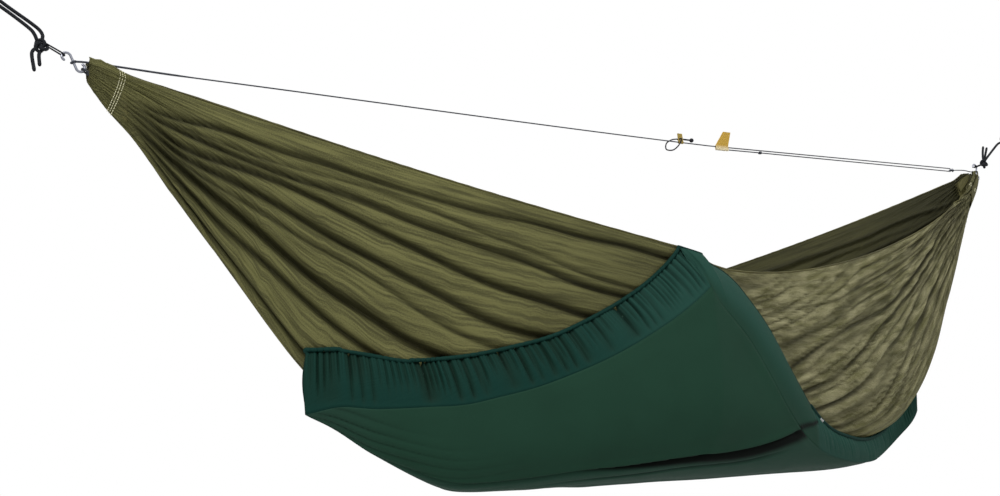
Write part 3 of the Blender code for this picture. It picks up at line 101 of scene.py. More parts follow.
def unit(vectors: Array) -> Array:
    """Vectors scaled to length 1.

    Args:
        vectors: An array whose last axis holds the components.

    Returns:
        The array of unit vectors.
    """
    return vectors / np.maximum(np.linalg.norm(vectors, axis=-1, keepdims=True), 1e-12)


def in_plane(angle: float) -> Array:
    """The direction at an angle from +X towards +Z."""
    return np.array((math.cos(angle), 0.0, math.sin(angle)))


@dataclass(frozen=True)
class SmoothLine:
    """A smooth line through (place, height) pairs."""

    knots: tuple[tuple[float, float], ...]

    def at(self, x: Array | float) -> Array:
        """The line's height.

        Args:
            x: Places along it.

        Returns:
            The heights there, level beyond the ends.
        """
        xs, ys = np.array(self.knots).T
        last = len(xs) - 1
        low = np.clip(np.arange(last + 1) - 1, 0, last)
        high = np.clip(np.arange(last + 1) + 1, 0, last)
        slopes = (ys[high] - ys[low]) / (xs[high] - xs[low])
        x = np.clip(np.asarray(x, float), xs[0], xs[-1])
        i = np.clip(np.searchsorted(xs, x, side="right") - 1, 0, last - 1)
        width = xs[i + 1] - xs[i]
        t = (x - xs[i]) / width
        return (
            ys[i] * (2 * t**3 - 3 * t**2 + 1)
            + slopes[i] * width * (t**3 - 2 * t**2 + t)
            + ys[i + 1] * (3 * t**2 - 2 * t**3)
            + slopes[i + 1] * width * (t**3 - t**2)
        )


@dataclass(frozen=True)
class Unevenness:
    """A smooth random field over a plane, the same on each run."""

    seed: int
    cells: int = 97

    def at(self, x: Array, y: Array) -> Array:
        """The field's height.

        Args:
            x: First coordinates, one random value per unit.
            y: Second coordinates.

        Returns:
            Heights from -1 to 1.
        """
        lattice = np.random.default_rng(self.seed).uniform(-1.0, 1.0, (self.cells, self.cells))
        i, j = np.floor(x).astype(int), np.floor(y).astype(int)
        fx, fy = x - i, y - j
        fx, fy = fx * fx * (3 - 2 * fx), fy * fy * (3 - 2 * fy)
        rows, after = i % self.cells, (i + 1) % self.cells
        columns, beside = j % self.cells, (j + 1) % self.cells
        near = lattice[rows, columns] * (1 - fx) + lattice[after, columns] * fx
        far = lattice[rows, beside] * (1 - fx) + lattice[after, beside] * fx
        return near * (1 - fy) + far * fy


@dataclass(frozen=True)
class Hang:
    """Where the hammock hangs between its rings."""

    span: float = 2.70
    angle: float = math.radians(34.0)
    ring_radius: float = 0.022
    ring_distance: float = 0.275

    @property
    def pull(self) -> Array:
        """The direction from the head end to its ring."""
        return np.array((-math.cos(self.angle), 0.0, math.sin(self.angle)))

    @property
    def head_end(self) -> Array:
        """The gathered end at the head."""
        return -self.pull * (self.ring_radius + self.ring_distance)

    def place(self, u: Array | float, y: Array | float, z: Array | float) -> Array:
        """A point given from the head end.

        Args:
            u: Distance towards the foot.
            y: Offset across.
            z: Height.

        Returns:
            The point in the frame.
        """
        u, y, z = np.broadcast_arrays(*(np.asarray(v, float) for v in (u, y, z)))
        return self.head_end + np.stack((u, y, z), axis=-1)

    def half_turned(self, points: Array) -> Array:
        """Points turned half round the upright line through the middle."""
        middle = self.head_end[0] + self.span / 2
        return points * (-1.0, -1.0, 1.0) + (2 * middle, 0.0, 0.0)


HANG = Hang()


@dataclass(frozen=True)
class Hull:
    """The shape that the cloth and the cover hang in."""

    end_half_width: float = 0.018
    end_rim_rise: float = 0.004
    corner_from_middle: float = 0.06
    corner_half_width: float = 0.232
    corner_drop: float = 0.390
    taut_sag: float = 0.016
    slack_sag: float = 0.137
    slack_power: float = 0.55
    keel_line: SmoothLine = SmoothLine((
        (0.000, 0.038), (0.026, 0.077), (0.083, 0.146), (0.161, 0.262), (0.276, 0.425),
        (0.392, 0.588), (0.500, 0.695), (0.620, 0.770), (0.800, 0.812), (1.050, 0.826),
    ))
    cover_keel_line: SmoothLine = SmoothLine((
        (0.355, 0.692), (0.440, 0.722), (0.530, 0.781),
        (0.660, 0.846), (0.740, 0.864), (1.000, 0.869),
    ))
    cover_bulge: float = 0.022
    cover_boxier: float = 0.5

    @property
    def corner(self) -> float:
        """Distance from the head end to the near rim's corner."""
        return HANG.span / 2 - self.corner_from_middle

    def rim(self, u: Array) -> tuple[Array, Array]:
        """The near rim.

        Args:
            u: Distances from the head end.

        Returns:
            Its half width and its height there.
        """
        taut = u <= self.corner
        t = np.where(taut, u / self.corner, (HANG.span - u) / (HANG.span - self.corner))
        t = np.clip(t, 0.0, 1.0)
        width = self.end_half_width + (self.corner_half_width - self.end_half_width) * t
        chord = self.end_rim_rise - (self.corner_drop + self.end_rim_rise) * t
        wave = np.clip(np.sin(math.pi * t), 0.0, 1.0)
        sag = np.where(taut, self.taut_sag * wave, self.slack_sag * wave**self.slack_power)
        return width, chord - sag

    def section(self, u: Array, share: Array, low: Array, bulge: float, boxier: float) -> Array:
        """Points of the hull's cross-section.

        Args:
            u: Distances from the head end.
            share: Shares of the girth, 1 on the near rim, 0 on the keel and -1 on the far rim.
            low: Height of the keel.
            bulge: How much wider the section is than the cloth.
            boxier: What is added to the section's exponent.

        Returns:
            The points in the frame.
        """
        near_width, near_top = self.rim(u)
        far_width, far_top = self.rim(HANG.span - u)
        near = share >= 0
        width = np.where(near, near_width, far_width)
        top = np.where(near, near_top, far_top)
        from_end = np.minimum(u, HANG.span - u)
        power = 2.0 / (2.0 + 0.5 * ease(from_end, 0.30, 0.90) + boxier)
        angle = np.abs(share) * math.pi / 2
        side = (width + bulge) * np.clip(np.sin(angle), 0.0, 1.0) ** power
        height = low + (top - low) * (1 - np.clip(np.cos(angle), 0.0, 1.0) ** power)
        return HANG.place(u, np.where(near, -side, side), height)

    def cloth(self, u: Array, share: Array) -> Array:
        """Points of the cloth's hull."""
        low = -self.keel_line.at(np.minimum(u, HANG.span - u))
        return self.section(u, share, low, 0.0, 0.0)

    def cover(self, u: Array, share: Array) -> Array:
        """Points of the cover's outer hull."""
        low = -self.cover_keel_line.at(np.minimum(u, HANG.span - u))
        return self.section(u, share, low, self.cover_bulge, self.cover_boxier)

    def outward(self, surface: Callable[[Array, Array], Array], u: Array, share: Array) -> Array:
        """The hull's outward direction.

        Args:
            surface: The cloth's or the cover's hull.
            u: Distances from the head end.
            share: Shares of the girth.

        Returns:
            The unit normals there.
        """
        step = 0.004
        u = np.clip(u, step, HANG.span - step)
        share = np.clip(share, step - 1, 1 - step)
        along = surface(u + step, share) - surface(u - step, share)
        around = surface(u, share + step) - surface(u, share - step)
        return unit(np.cross(along, around))


HULL = Hull()


class Value:
    """A number on a surface; an expression on values adds its Math nodes."""

    def __init__(self, shader: "Shader", socket: bpy.types.NodeSocket) -> None:
        """Wraps a socket of a shader."""
        self.shader = shader
        self.socket = socket

    def joined(self, operation: str, first: "Value | float", second: "Value | float") -> "Value":
        """Adds a Math node.

        Args:
            operation: The node's operation.
            first: Its first number.
            second: Its second number.

        Returns:
            The node's result.
        """
        node = self.shader.node("ShaderNodeMath", {"operation": operation}, {0: first, 1: second})
        return Value(self.shader, node.outputs[0])

    def __add__(self, other: "Value | float") -> "Value":
        """The sum."""
        return self.joined("ADD", self, other)

    def __radd__(self, other: float) -> "Value":
        """The sum, the other way round."""
        return self.joined("ADD", other, self)

    def __sub__(self, other: "Value | float") -> "Value":
        """The difference."""
        return self.joined("SUBTRACT", self, other)

    def __mul__(self, other: "Value | float") -> "Value":
        """The product."""
        return self.joined("MULTIPLY", self, other)


class Shader:
    """The node tree of a material or a world, and the one method that adds its nodes."""

    def __init__(self, holder: bpy.types.Material | bpy.types.World) -> None:
        """Empties the holder's tree."""
        holder.use_nodes = True
        self.holder = holder
        self.tree = holder.node_tree
        self.tree.nodes.clear()

    def node(self, kind: str, settings: dict | None = None, feeds: dict | None = None) -> bpy.types.Node:
        """Adds a node.

        Args:
            kind: The node's type.
            settings: Its own settings, and a ramp's stops as (place, colour) pairs.
            feeds: What its sockets get, each a number, a colour, a value or another node's socket.

        Returns:
            The node.
        """
        node = self.tree.nodes.new(kind)
        for name, value in (settings or {}).items():
            if name != "stops":
                setattr(node, name, value)
                continue
            ramp = node.color_ramp.elements
            while len(ramp) < len(value):
                ramp.new(0.5)
            for stop, (place, colour) in zip(ramp, value):
                stop.position = place
                stop.color = (*colour, 1.0)
        for key, value in (feeds or {}).items():
            socket = node.inputs[key]
            if isinstance(value, Value):
                self.tree.links.new(value.socket, socket)
            elif isinstance(value, bpy.types.NodeSocket):
                self.tree.links.new(value, socket)
            elif isinstance(value, tuple) and socket.type == "RGBA":
                socket.default_value = (*value, 1.0)
            else:
                socket.default_value = value
        return node

    def uv(self, scale: Sequence[float]) -> bpy.types.NodeSocket:
        """The piece's own UV map, in metres, stretched by a scale."""
        source = self.node("ShaderNodeUVMap", {"uv_map": FINE_UV}).outputs[0]
        return self.node("ShaderNodeMapping", {}, {"Vector": source, "Scale": tuple(scale)}).outputs[0]

    def place(self, scale: Sequence[float]) -> bpy.types.NodeSocket:
        """Object coordinates stretched by a scale."""
        source = self.node("ShaderNodeTexCoord").outputs["Object"]
        return self.node("ShaderNodeMapping", {}, {"Vector": source, "Scale": tuple(scale)}).outputs[0]

    def noise(self, vector: bpy.types.NodeSocket, detail: float) -> Value:
        """Soft noise from 0 to 1.

        Args:
            vector: Where it is read, at one lump per unit.
            detail: How many finer layers it has.

        Returns:
            The noise.
        """
        feeds = {"Vector": vector, "Scale": 1.0, "Detail": detail}
        return Value(self, self.node("ShaderNodeTexNoise", {}, feeds).outputs["Fac"])

    def mark(self, name: str) -> Value:
        """A number that the piece's mesh carries."""
        node = self.node("ShaderNodeAttribute", {"attribute_name": name})
        return Value(self, node.outputs["Fac"])

    def mixed(self, factor: Value, first: object, second: object) -> bpy.types.NodeSocket:
        """A mix of two colours.

        Args:
            factor: The second colour's part.
            first: A colour or a colour socket.
            second: A colour or a colour socket.

        Returns:
            The mixed colour's socket.
        """
        settings = {"data_type": "RGBA", "clamp_factor": True}
        node = self.node("ShaderNodeMix", settings, {0: factor, 6: first, 7: second})
        return node.outputs[2]

    def bump(self, height: Value, depth: float, strength: float = 1.0) -> bpy.types.NodeSocket:
        """The normal of a surface with small relief.

        Args:
            height: The relief from 0 to 1.
            depth: The relief's height in metres.
            strength: How much of it shows.

        Returns:
            The normal's socket.
        """
        feeds = {"Height": height, "Distance": depth, "Strength": strength}
        return self.node("ShaderNodeBump", {}, feeds).outputs[0]

    def finish(self, feeds: dict, through: Colour | None = None, sheer: "Value | float" = 0.0) -> None:
        """Ends the tree in a Principled shader.

        Args:
            feeds: What the shader's sockets get.
            through: The colour of light that comes through, for thin cloth.
            sheer: How much light comes through.
        """
        surface = self.node("ShaderNodeBsdfPrincipled", {}, feeds).outputs[0]
        if through is not None:
            behind = self.node("ShaderNodeBsdfTranslucent", {}, {"Color": through}).outputs[0]
            surface = self.node("ShaderNodeMixShader", {}, {0: sheer, 1: surface, 2: behind}).outputs[0]
        self.node("ShaderNodeOutputMaterial", {}, {"Surface": surface})


@dataclass(frozen=True)
class Finish(ABC):
    """What a surface is made of."""

    name: str
    slot: str
    colour: Colour

    @abstractmethod
    def dress(self, shader: Shader) -> None:
        """Builds the finish's nodes in a shader."""

    def shade(self, part: float) -> Colour:
        """The finish's own colour, made darker or lighter."""
        return tuple(part * c for c in self.colour)

    def material(self) -> bpy.types.Material:
        """The finish's material, made once."""
        known = bpy.data.materials.get(f"finish_{self.name}")
        if known:
            return known
        shader = Shader(bpy.data.materials.new(f"finish_{self.name}"))
        self.dress(shader)
        return shader.holder


@dataclass(frozen=True)
class ThinNylon(Finish):
    """Thin calendered cloth with a square rip-proof grid, which lets some light through; painted light
    where it is slack, painted shade in its folds and on its inner face.
    """

    # The colour of the painted light on slack cloth: light shining through it from behind, with painted
    # highlights.
    painted_light: Colour = (0.36, 0.34, 0.190)
    through: Colour = (0.30, 0.28, 0.10)
    sheer: float = 0.22
    grid: float = 0.0055
    roughness: float = 0.52

    def dress(self, shader: Shader) -> None:
        """Builds the finish's nodes in a shader."""
        streaks = shader.noise(shader.uv((5.0, 75.0, 1.0)), 5.0)
        threadlike = shader.noise(shader.uv((7.0, 190.0, 1.0)), 3.0)
        patches = shader.noise(shader.uv((7.0, 12.0, 1.0)), 3.0)
        creases = shader.noise(shader.uv((15.0, 62.0, 1.0)), 6.0)
        grain = shader.noise(shader.uv((420.0, 420.0, 1.0)), 2.0)
        cells = shader.node(
            "ShaderNodeTexBrick",
            {"offset": 0.0},
            {
                "Vector": shader.uv((1.0, 1.0, 1.0)),
                "Color1": (1.0, 1.0, 1.0),
                "Color2": (1.0, 1.0, 1.0),
                "Mortar": (0.0, 0.0, 0.0),
                "Scale": 1.0,
                "Mortar Size": self.grid * 0.07,
                "Mortar Smooth": 0.3,
                "Brick Width": self.grid,
                "Row Height": self.grid,
            },
        )
        threads = Value(shader, cells.outputs["Fac"])
        slack, deep = shader.mark("slack"), shader.mark("deep")
        dark = self.shade(0.50)
        contrast = (streaks - 0.5) * 3.4 + (threadlike - 0.5) * 3.0 + (grain - 0.5) * 2.6 + 0.56
        base = shader.mixed(contrast, dark, self.shade(1.18))
        base = shader.mixed(threads * 0.2, base, dark)
        # Painted light: slack cloth lightened towards the through-lit colour, with painted highlights on
        # its creases and patches.
        glow = slack * ((creases - 0.5) * 2.4 + (patches - 0.5) * 1.3 + (grain - 0.5) * 2.6 + 0.46)
        base = shader.mixed(glow, base, self.painted_light)
        # Painted shade: the folds' valleys darkened to a sixth of the cloth's colour.
        base = shader.mixed(deep * 0.85, base, self.shade(0.16))
        # Painted shade on the cloth's inner face.
        base = shader.mixed(shader.mark("inside") * 0.68, base, self.shade(0.22))
        relief = streaks * 0.50 + creases * (0.16 + slack * 0.60) + threads * 0.03 + grain * 0.03
        feeds = {
            "Base Color": base,
            "Roughness": self.roughness + creases * 0.15,
            "Specular IOR Level": 0.12,
            "Normal": shader.bump(relief, 0.0085, 1.0),
        }
        sheer = self.sheer * 0.3 + slack * self.sheer
        shader.finish(feeds, self.through, sheer)


@dataclass(frozen=True)
class CoverCloth(Finish):
    """Smooth densely woven cloth; painted sheen where it turns under and on its bands, painted shade in
    its creases.
    """

    band: Colour = (0.0042, 0.0265, 0.0205)
    # The colour of the painted sheen where the cloth turns under and on the band's smoother parts.
    under: Colour = (0.0150, 0.0420, 0.0290)
    roughness: float = 0.60

    def dress(self, shader: Shader) -> None:
        """Builds the finish's nodes in a shader."""
        cloudy = shader.noise(shader.place((9.0, 9.0, 9.0)), 3.0)
        weave = shader.noise(shader.uv((900.0, 900.0, 1.0)), 1.0)
        creases = shader.noise(shader.uv((45.0, 45.0, 1.0)), 5.0)
        band = shader.mark("band")
        base = shader.mixed(cloudy, self.shade(0.86), self.shade(1.16))
        base = shader.mixed(band, base, self.band)
        # Painted sheen: lighter where the cloth turns under and where the band lies smooth.
        base = shader.mixed(shader.mark("under"), base, self.under)
        # Painted shade: creases and grooves darkened nearly to black.
        base = shader.mixed(shader.mark("crease") * 1.15, base, self.shade(0.05))
        relief = weave * 0.15 + creases * (0.12 + band * 0.75)
        feeds = {
            "Base Color": base,
            "Roughness": self.roughness + cloudy * 0.10,
            "Specular IOR Level": 0.05,
            "Normal": shader.bump(relief, 0.0016, 0.9),
        }
        shader.finish(feeds)


@dataclass(frozen=True)
class Braid(Finish):
    """A cord braided from two sets of yarns, whose UV map runs along it and round it."""

    # The colour of the yarns' crowns: a painted highlight.
    light: Colour = (0.06, 0.065, 0.075)
    pitch: float = 0.004
    depth: float = 0.0005
    roughness: float = 0.62

    def dress(self, shader: Shader) -> None:
        """Builds the finish's nodes in a shader."""
        turns = 1.0 / self.pitch
        yarns = []
        for lean in (0.8, -0.8):
            vector = shader.node(
                "ShaderNodeMapping",
                {},
                {"Vector": shader.uv((turns, turns, 1.0)), "Rotation": (0.0, 0.0, lean)},
            ).outputs[0]
            wave = shader.node(
                "ShaderNodeTexWave",
                {"wave_type": "BANDS", "bands_direction": "X", "wave_profile": "SIN"},
                {"Vector": vector, "Scale": 1.0 / math.pi, "Distortion": 0.4, "Detail": 1.0},
            )
            yarns.append(Value(shader, wave.outputs["Fac"]))
        # Painted shade of the braid's relief: the yarns' crowns painted lighter and the gaps between
        # them darker.
        crossing = yarns[0] * yarns[1]
        fuzz = shader.noise(shader.uv((2500.0, 2500.0, 1.0)), 2.0)
        feeds = {
            "Base Color": shader.mixed(crossing * 0.8 + fuzz * 0.2, self.colour, self.light),
            "Roughness": self.roughness + fuzz * 0.2,
            "Specular IOR Level": 0.12,
            "Normal": shader.bump(crossing + fuzz * 0.2, self.depth),
        }
        shader.finish(feeds)


@dataclass(frozen=True)
class Webbing(Finish):
    """Flat woven tape: yarns in short rows, with a worn, paler lower edge."""

    pale: Colour = (0.78, 0.72, 0.52)
    edge: tuple[float, float] = (-1.0, -0.99)
    roughness: float = 0.6

    def dress(self, shader: Shader) -> None:
        """Builds the finish's nodes in a shader."""
        rows = shader.node(
            "ShaderNodeTexWave",
            {"wave_type": "BANDS", "bands_direction": "Z"},
            {"Vector": shader.place((1.0, 1.0, 1.0)), "Scale": 420.0, "Distortion": 1.2, "Detail": 2.0},
        )
        yarn = Value(shader, rows.outputs["Fac"])
        grime = shader.noise(shader.place((160.0, 160.0, 160.0)), 4.0)
        height = shader.node("ShaderNodeSeparateXYZ", {}, {0: shader.place((1.0, 1.0, 1.0))}).outputs[2]
        ramp = shader.node(
            "ShaderNodeMapRange",
            {"clamp": True},
            {0: height, 1: self.edge[0], 2: self.edge[1], 3: 1.0, 4: 0.0},
        )
        base = shader.mixed(grime * 0.5 + yarn * 0.3, self.colour, self.shade(0.55))
        base = shader.mixed(Value(shader, ramp.outputs[0]) * (0.4 + grime * 0.6), base, self.pale)
        feeds = {
            "Base Color": base,
            "Roughness": self.roughness + yarn * 0.15,
            "Specular IOR Level": 0.35,
            "Normal": shader.bump(yarn + grime * 0.5, 0.0003),
        }
        shader.finish(feeds)


@dataclass(frozen=True)
class Steel(Finish):
    """Bare steel bar with fine scratches and duller handled patches."""

    roughness: float = 0.20

    def dress(self, shader: Shader) -> None:
        """Builds the finish's nodes in a shader."""
        scratches = shader.noise(shader.place((900.0, 900.0, 120.0)), 3.0)
        patches = shader.noise(shader.place((110.0, 110.0, 110.0)), 3.0)
        feeds = {
            "Base Color": shader.mixed(patches, self.colour, self.shade(0.8)),
            "Metallic": 1.0,
            "Roughness": self.roughness + patches * 0.16 + scratches * 0.08,
            "Normal": shader.bump(scratches, 0.00005, 0.6),
        }
        shader.finish(feeds)


@dataclass(frozen=True)
class Matt(Finish):
    """A plain matt surface, such as thread, wadding or moulded plastic, with a fine grain."""

    roughness: float = 0.6
    grain: float = 900.0
    depth: float = 0.0002

    def dress(self, shader: Shader) -> None:
        """Builds the finish's nodes in a shader."""
        grain = shader.noise(shader.place((self.grain,) * 3), 4.0)
        tint = shader.noise(shader.place((30.0, 30.0, 30.0)), 2.0)
        feeds = {
            "Base Color": shader.mixed(tint, self.colour, self.shade(0.75)),
            "Roughness": self.roughness + grain * 0.15,
            "Specular IOR Level": 0.35,
            "Normal": shader.bump(grain, self.depth),
        }
        shader.finish(feeds)


OLIVE = ThinNylon("olive_nylon", "hammock_cloth", (0.112, 0.109, 0.040))
# The hem and the gathered layers are darker copies of the olive cloth: painted shade.
OLIVE_HEM = ThinNylon(
    "olive_hem", "rim_hem", (0.082, 0.076, 0.027), painted_light=(0.19, 0.175, 0.09), sheer=0.1
)
GATHERS = ThinNylon("olive_gathers", "end_channel", (0.080, 0.074, 0.026), sheer=0.1)
COVER = CoverCloth("cover_cloth", "cover_face", (0.0105, 0.0360, 0.0220))
# The band's painted sheen is lighter and bluer.
COVER_BAND = CoverCloth(
    "cover_band", "cover_face", (0.0100, 0.0345, 0.0220), under=(0.0160, 0.0560, 0.0430)
)
COVER_HEM = CoverCloth("cover_hem", "cover_band", (0.0040, 0.0230, 0.0180))
LINING = CoverCloth("cover_lining", "cover_lining", (0.030, 0.060, 0.045), under=(0.03, 0.06, 0.045))
WADDING = Matt("wadding", "cover_filling", (0.62, 0.64, 0.62), 0.95, 300.0, 0.0015)
ELASTIC = Braid("elastic", "elastic", (0.012, 0.018, 0.018), (0.05, 0.06, 0.06), 0.0022, 0.0003)
BEAD = Matt("bead", "bead", (0.42, 0.43, 0.42), 0.42, 1500.0, 0.00005)
RING_STEEL = Steel("ring_steel", "ring_steel", (0.36, 0.37, 0.39), 0.24)
HOOK_STEEL = Steel("hook_steel", "hook_steel", (0.26, 0.27, 0.31), 0.22)
ROPE = Braid("rope", "rope", (0.0035, 0.0040, 0.0055), (0.018, 0.020, 0.025), 0.0036, 0.0006)
CORD = Braid("grey_cord", "cord", (0.028, 0.031, 0.038), (0.085, 0.092, 0.11), 0.0018, 0.0003)
GEAR_CORD = Braid("gear_cord", "gear_cord", (0.008, 0.008, 0.010), (0.04, 0.042, 0.05), 0.0020, 0.0003)
THREAD = Matt("cream_thread", "end_channel", (0.72, 0.70, 0.47), 0.7, 2500.0, 0.0001)


def added(name: str, points: Array, faces: Sequence, finish: Finish, body: Body) -> bpy.types.Object:
    """A new piece, dressed and riding on its body.

    Args:
        name: The piece's name.
        points: Its vertices.
        faces: Its faces, as rows of vertex numbers.
        finish: What it is made of.
        body: The body that carries it.

    Returns:
        The piece.
    """
    mesh = bpy.data.meshes.new(name)
    mesh.from_pydata(points.reshape(-1, 3).tolist(), [], [list(face) for face in faces])
    mesh.shade_smooth()
    piece = bpy.data.objects.new(name, mesh)
    bpy.context.scene.collection.objects.link(piece)
    mesh.materials.append(finish.material())
    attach(piece, body.value)
    return piece


def give_uv(piece: bpy.types.Object, corners: Array) -> None:
    """Gives a mesh its UV map.

    Args:
        piece: The piece.
        corners: One pair of coordinates for each corner of each face.
    """
    layer = piece.data.uv_layers.new(name=FINE_UV)
    layer.data.foreach_set("uv", corners.astype(np.float32).ravel())


def give_mark(piece: bpy.types.Object, name: str, values: Array) -> None:
    """Gives each vertex a number that a finish reads.

    Args:
        piece: The piece.
        name: The number's name.
        values: One number for each vertex.
    """
    attribute = piece.data.attributes.new(name, "FLOAT", "POINT")
    attribute.data.foreach_set("value", values.astype(np.float32).ravel())


def apply_modifier(piece: bpy.types.Object, kind: str, settings: dict) -> None:
    """Adds a modifier to a piece and applies it.

    Args:
        piece: The piece.
        kind: The modifier's type.
        settings: Its settings.
    """
    modifier = piece.modifiers.new(kind.lower(), kind)
    for name, value in settings.items():
        setattr(modifier, name, value)
    bpy.ops.object.select_all(action="DESELECT")
    bpy.context.view_layer.objects.active = piece
    piece.select_set(True)
    bpy.ops.object.modifier_apply(modifier=modifier.name)


def quads_of(rows: int, columns: int, flip: bool = False) -> Array:
    """The faces of a grid of vertices.

    Args:
        rows: How many rows of vertices.
        columns: How many vertices in each.
        flip: Whether the faces point the other way.

    Returns:
        One row of four vertex numbers for each face.
    """
    start = (np.arange(rows - 1)[:, None] * columns + np.arange(columns - 1)).ravel()
    faces = np.stack((start, start + 1, start + columns + 1, start + columns), axis=1)
    return faces[:, ::-1] if flip else faces


def lengths_along(points: Array, axis: int) -> Array:
    """The length from the first point of a grid along one of its axes.

    Args:
        points: The grid of points.
        axis: The axis that is followed.

    Returns:
        The length at each point.
    """
    steps = np.linalg.norm(np.diff(points, axis=axis), axis=-1)
    start = np.zeros_like(np.take(steps, [0], axis=axis))
    return np.cumsum(np.concatenate((start, steps), axis=axis), axis=axis)


def cloth_piece(
    name: str,
    grid: Array,
    finish: Finish,
    marks: dict[str, Array],
    wall: float,
    closed: bool = False,
    width: float | None = None,
) -> bpy.types.Object:
    """A sheet of cloth with a wall thickness.

    Args:
        name: The piece's name.
        grid: Rows and columns of points on its outer face.
        finish: What it is made of.
        marks: Numbers for its finish, one for each point.
        wall: How thick the cloth is.
        closed: Whether the last column lies on the first one.
        width: Its width laid flat, where it is gathered up.

    Returns:
        The piece.
    """
    rows, columns = grid.shape[:2]
    faces = quads_of(rows, columns)
    piece = added(name, grid, faces, finish, Body.HAMMOCK)
    along, across = lengths_along(grid, 0), lengths_along(grid, 1)
    if width:
        across = across / across[:, -1:] * width
    give_uv(piece, np.stack((along.ravel()[faces], across.ravel()[faces]), axis=-1))
    for mark, values in marks.items():
        give_mark(piece, mark, values)
    if closed:
        apply_modifier(piece, "WELD", {"merge_threshold": 0.00001})
    apply_modifier(piece, "SOLIDIFY", {"thickness": wall, "offset": -1.0})
    return piece


def smooth_route(points: Sequence[Array], count: int, closed: bool = False) -> Array:
    """Evenly spread points on a smooth curve through chosen ones.

    Args:
        points: The chosen points.
        count: How many points are wanted.
        closed: Whether the curve runs back to its start.

    Returns:
        The points.
    """
    chosen = np.array(points, float)
    last = len(chosen)
    t = np.linspace(0.0, 1.0, 25)[:-1, None]
    pieces = []
    for i in range(last if closed else last - 1):
        order = [i - 1, i, i + 1, i + 2]
        order = [k % last for k in order] if closed else np.clip(order, 0, last - 1)
        a, b, c, d = chosen[order]
        square, cube = 2 * a - 5 * b + 4 * c - d, 3 * b - a - 3 * c + d
        pieces.append(0.5 * (2 * b + (c - a) * t + square * t**2 + cube * t**3))
    pieces.append(chosen[:1] if closed else chosen[-1:])
    fine = np.concatenate(pieces)
    along = lengths_along(fine, 0)
    wanted = np.linspace(0.0, along[-1], count + 1 if closed else count)
    wanted = wanted[:-1] if closed else wanted
    return np.stack([np.interp(wanted, along, fine[:, axis]) for axis in range(3)], axis=1)


def crosswise(line: Array, closed: bool) -> tuple[Array, Array]:
    """Two directions across a line, carried along it without twisting.

    Args:
        line: The line's points.
        closed: Whether it runs back to its start.

    Returns:
        The two directions at each point.
    """
    if closed:
        tangents = unit(np.roll(line, -1, axis=0) - np.roll(line, 1, axis=0))
    else:
        tangents = unit(np.gradient(line, axis=0))
    start = np.zeros(3)
    start[np.argmin(np.abs(tangents[0]))] = 1.0
    side = unit(start - tangents[0] * (start @ tangents[0]))
    sides = [side]
    for tangent in tangents[1:]:
        side = unit(side - tangent * (side @ tangent))
        sides.append(side)
    sides = np.array(sides)
    ups = np.cross(tangents, sides)
    if closed:
        end = unit(sides[-1] - tangents[0] * (sides[-1] @ tangents[0]))
        twist = math.atan2(end @ ups[0], end @ sides[0])
        turn = -twist * np.arange(len(line))[:, None] / len(line)
        sides, ups = sides * np.cos(turn) + ups * np.sin(turn), ups * np.cos(turn) - sides * np.sin(turn)
    return sides, ups


def rod(
    name: str,
    line: Array,
    radius: float | Array,
    finish: Finish,
    body: Body = Body.HAMMOCK,
    sides: int = 14,
    closed: bool = False,
    rounded: bool = False,
) -> bpy.types.Object:
    """A round bar or cord along a line.

    Args:
        name: The piece's name.
        line: The points of its centreline.
        radius: Its radius, or one for each point.
        finish: What it is made of.
        body: The body that carries it.
        sides: How many sides it has.
        closed: Whether it runs back to its start.
        rounded: Whether its ends are domes.

    Returns:
        The piece.
    """
    radii = np.broadcast_to(np.asarray(radius, float), (len(line),)).copy()
    if rounded:
        turns = np.linspace(0.0, math.pi / 2, 5)[1:]
        for at_end in (False, True):
            tip, inner = (line[-1], line[-2]) if at_end else (line[0], line[1])
            reach = radii[-1 if at_end else 0]
            out = unit(tip - inner) * reach
            caps = tip + out * np.sin(turns)[:, None] * 0.98
            widths = np.maximum(reach * np.cos(turns), reach * 0.12)
            if at_end:
                line, radii = np.concatenate((line, caps)), np.concatenate((radii, widths))
            else:
                line, radii = np.concatenate((caps[::-1], line)), np.concatenate((widths[::-1], radii))
    first, second = crosswise(line, closed)
    turn = 2 * math.pi * np.arange(sides) / sides
    ring = first[:, None] * np.cos(turn)[:, None] + second[:, None] * np.sin(turn)[:, None]
    points = line[:, None] + ring * radii[:, None, None]
    count = len(line)
    i, k = np.meshgrid(np.arange(count if closed else count - 1), np.arange(sides), indexing="ij")
    i, k = i.ravel(), k.ravel()
    after, beside = (i + 1) % count, (k + 1) % sides
    low, high = i * sides, after * sides
    faces = np.stack((low + k, low + beside, high + beside, high + k), axis=1)
    along = lengths_along(np.concatenate((line, line[:1])), 0)
    width = 2 * math.pi * float(np.median(radii)) / sides
    corners = np.stack(
        (
            np.stack((along[i], along[i], along[i + 1], along[i + 1]), axis=1),
            np.stack((k, k + 1, k + 1, k), axis=1) * width,
        ),
        axis=-1,
    ).reshape(-1, 2)
    rows = faces.tolist()
    if not closed:
        rows.append(list(range(sides))[::-1])
        rows.append(list(range((count - 1) * sides, count * sides)))
        corners = np.concatenate((corners, np.zeros((2 * sides, 2))))
    piece = added(name, points, rows, finish, body)
    give_uv(piece, corners)
    return piece


def merged(name: str, pieces: Sequence[bpy.types.Object]) -> bpy.types.Object:
    """Joins pieces into the first one.

    Args:
        name: The joined piece's name.
        pieces: The pieces, on one body.

    Returns:
        The joined piece.
    """
    bpy.ops.object.select_all(action="DESELECT")
    for piece in pieces:
        piece.select_set(True)
    bpy.context.view_layer.objects.active = pieces[0]
    bpy.ops.object.join()
    pieces[0].name = name
    pieces[0].data.name = name
    return pieces[0]


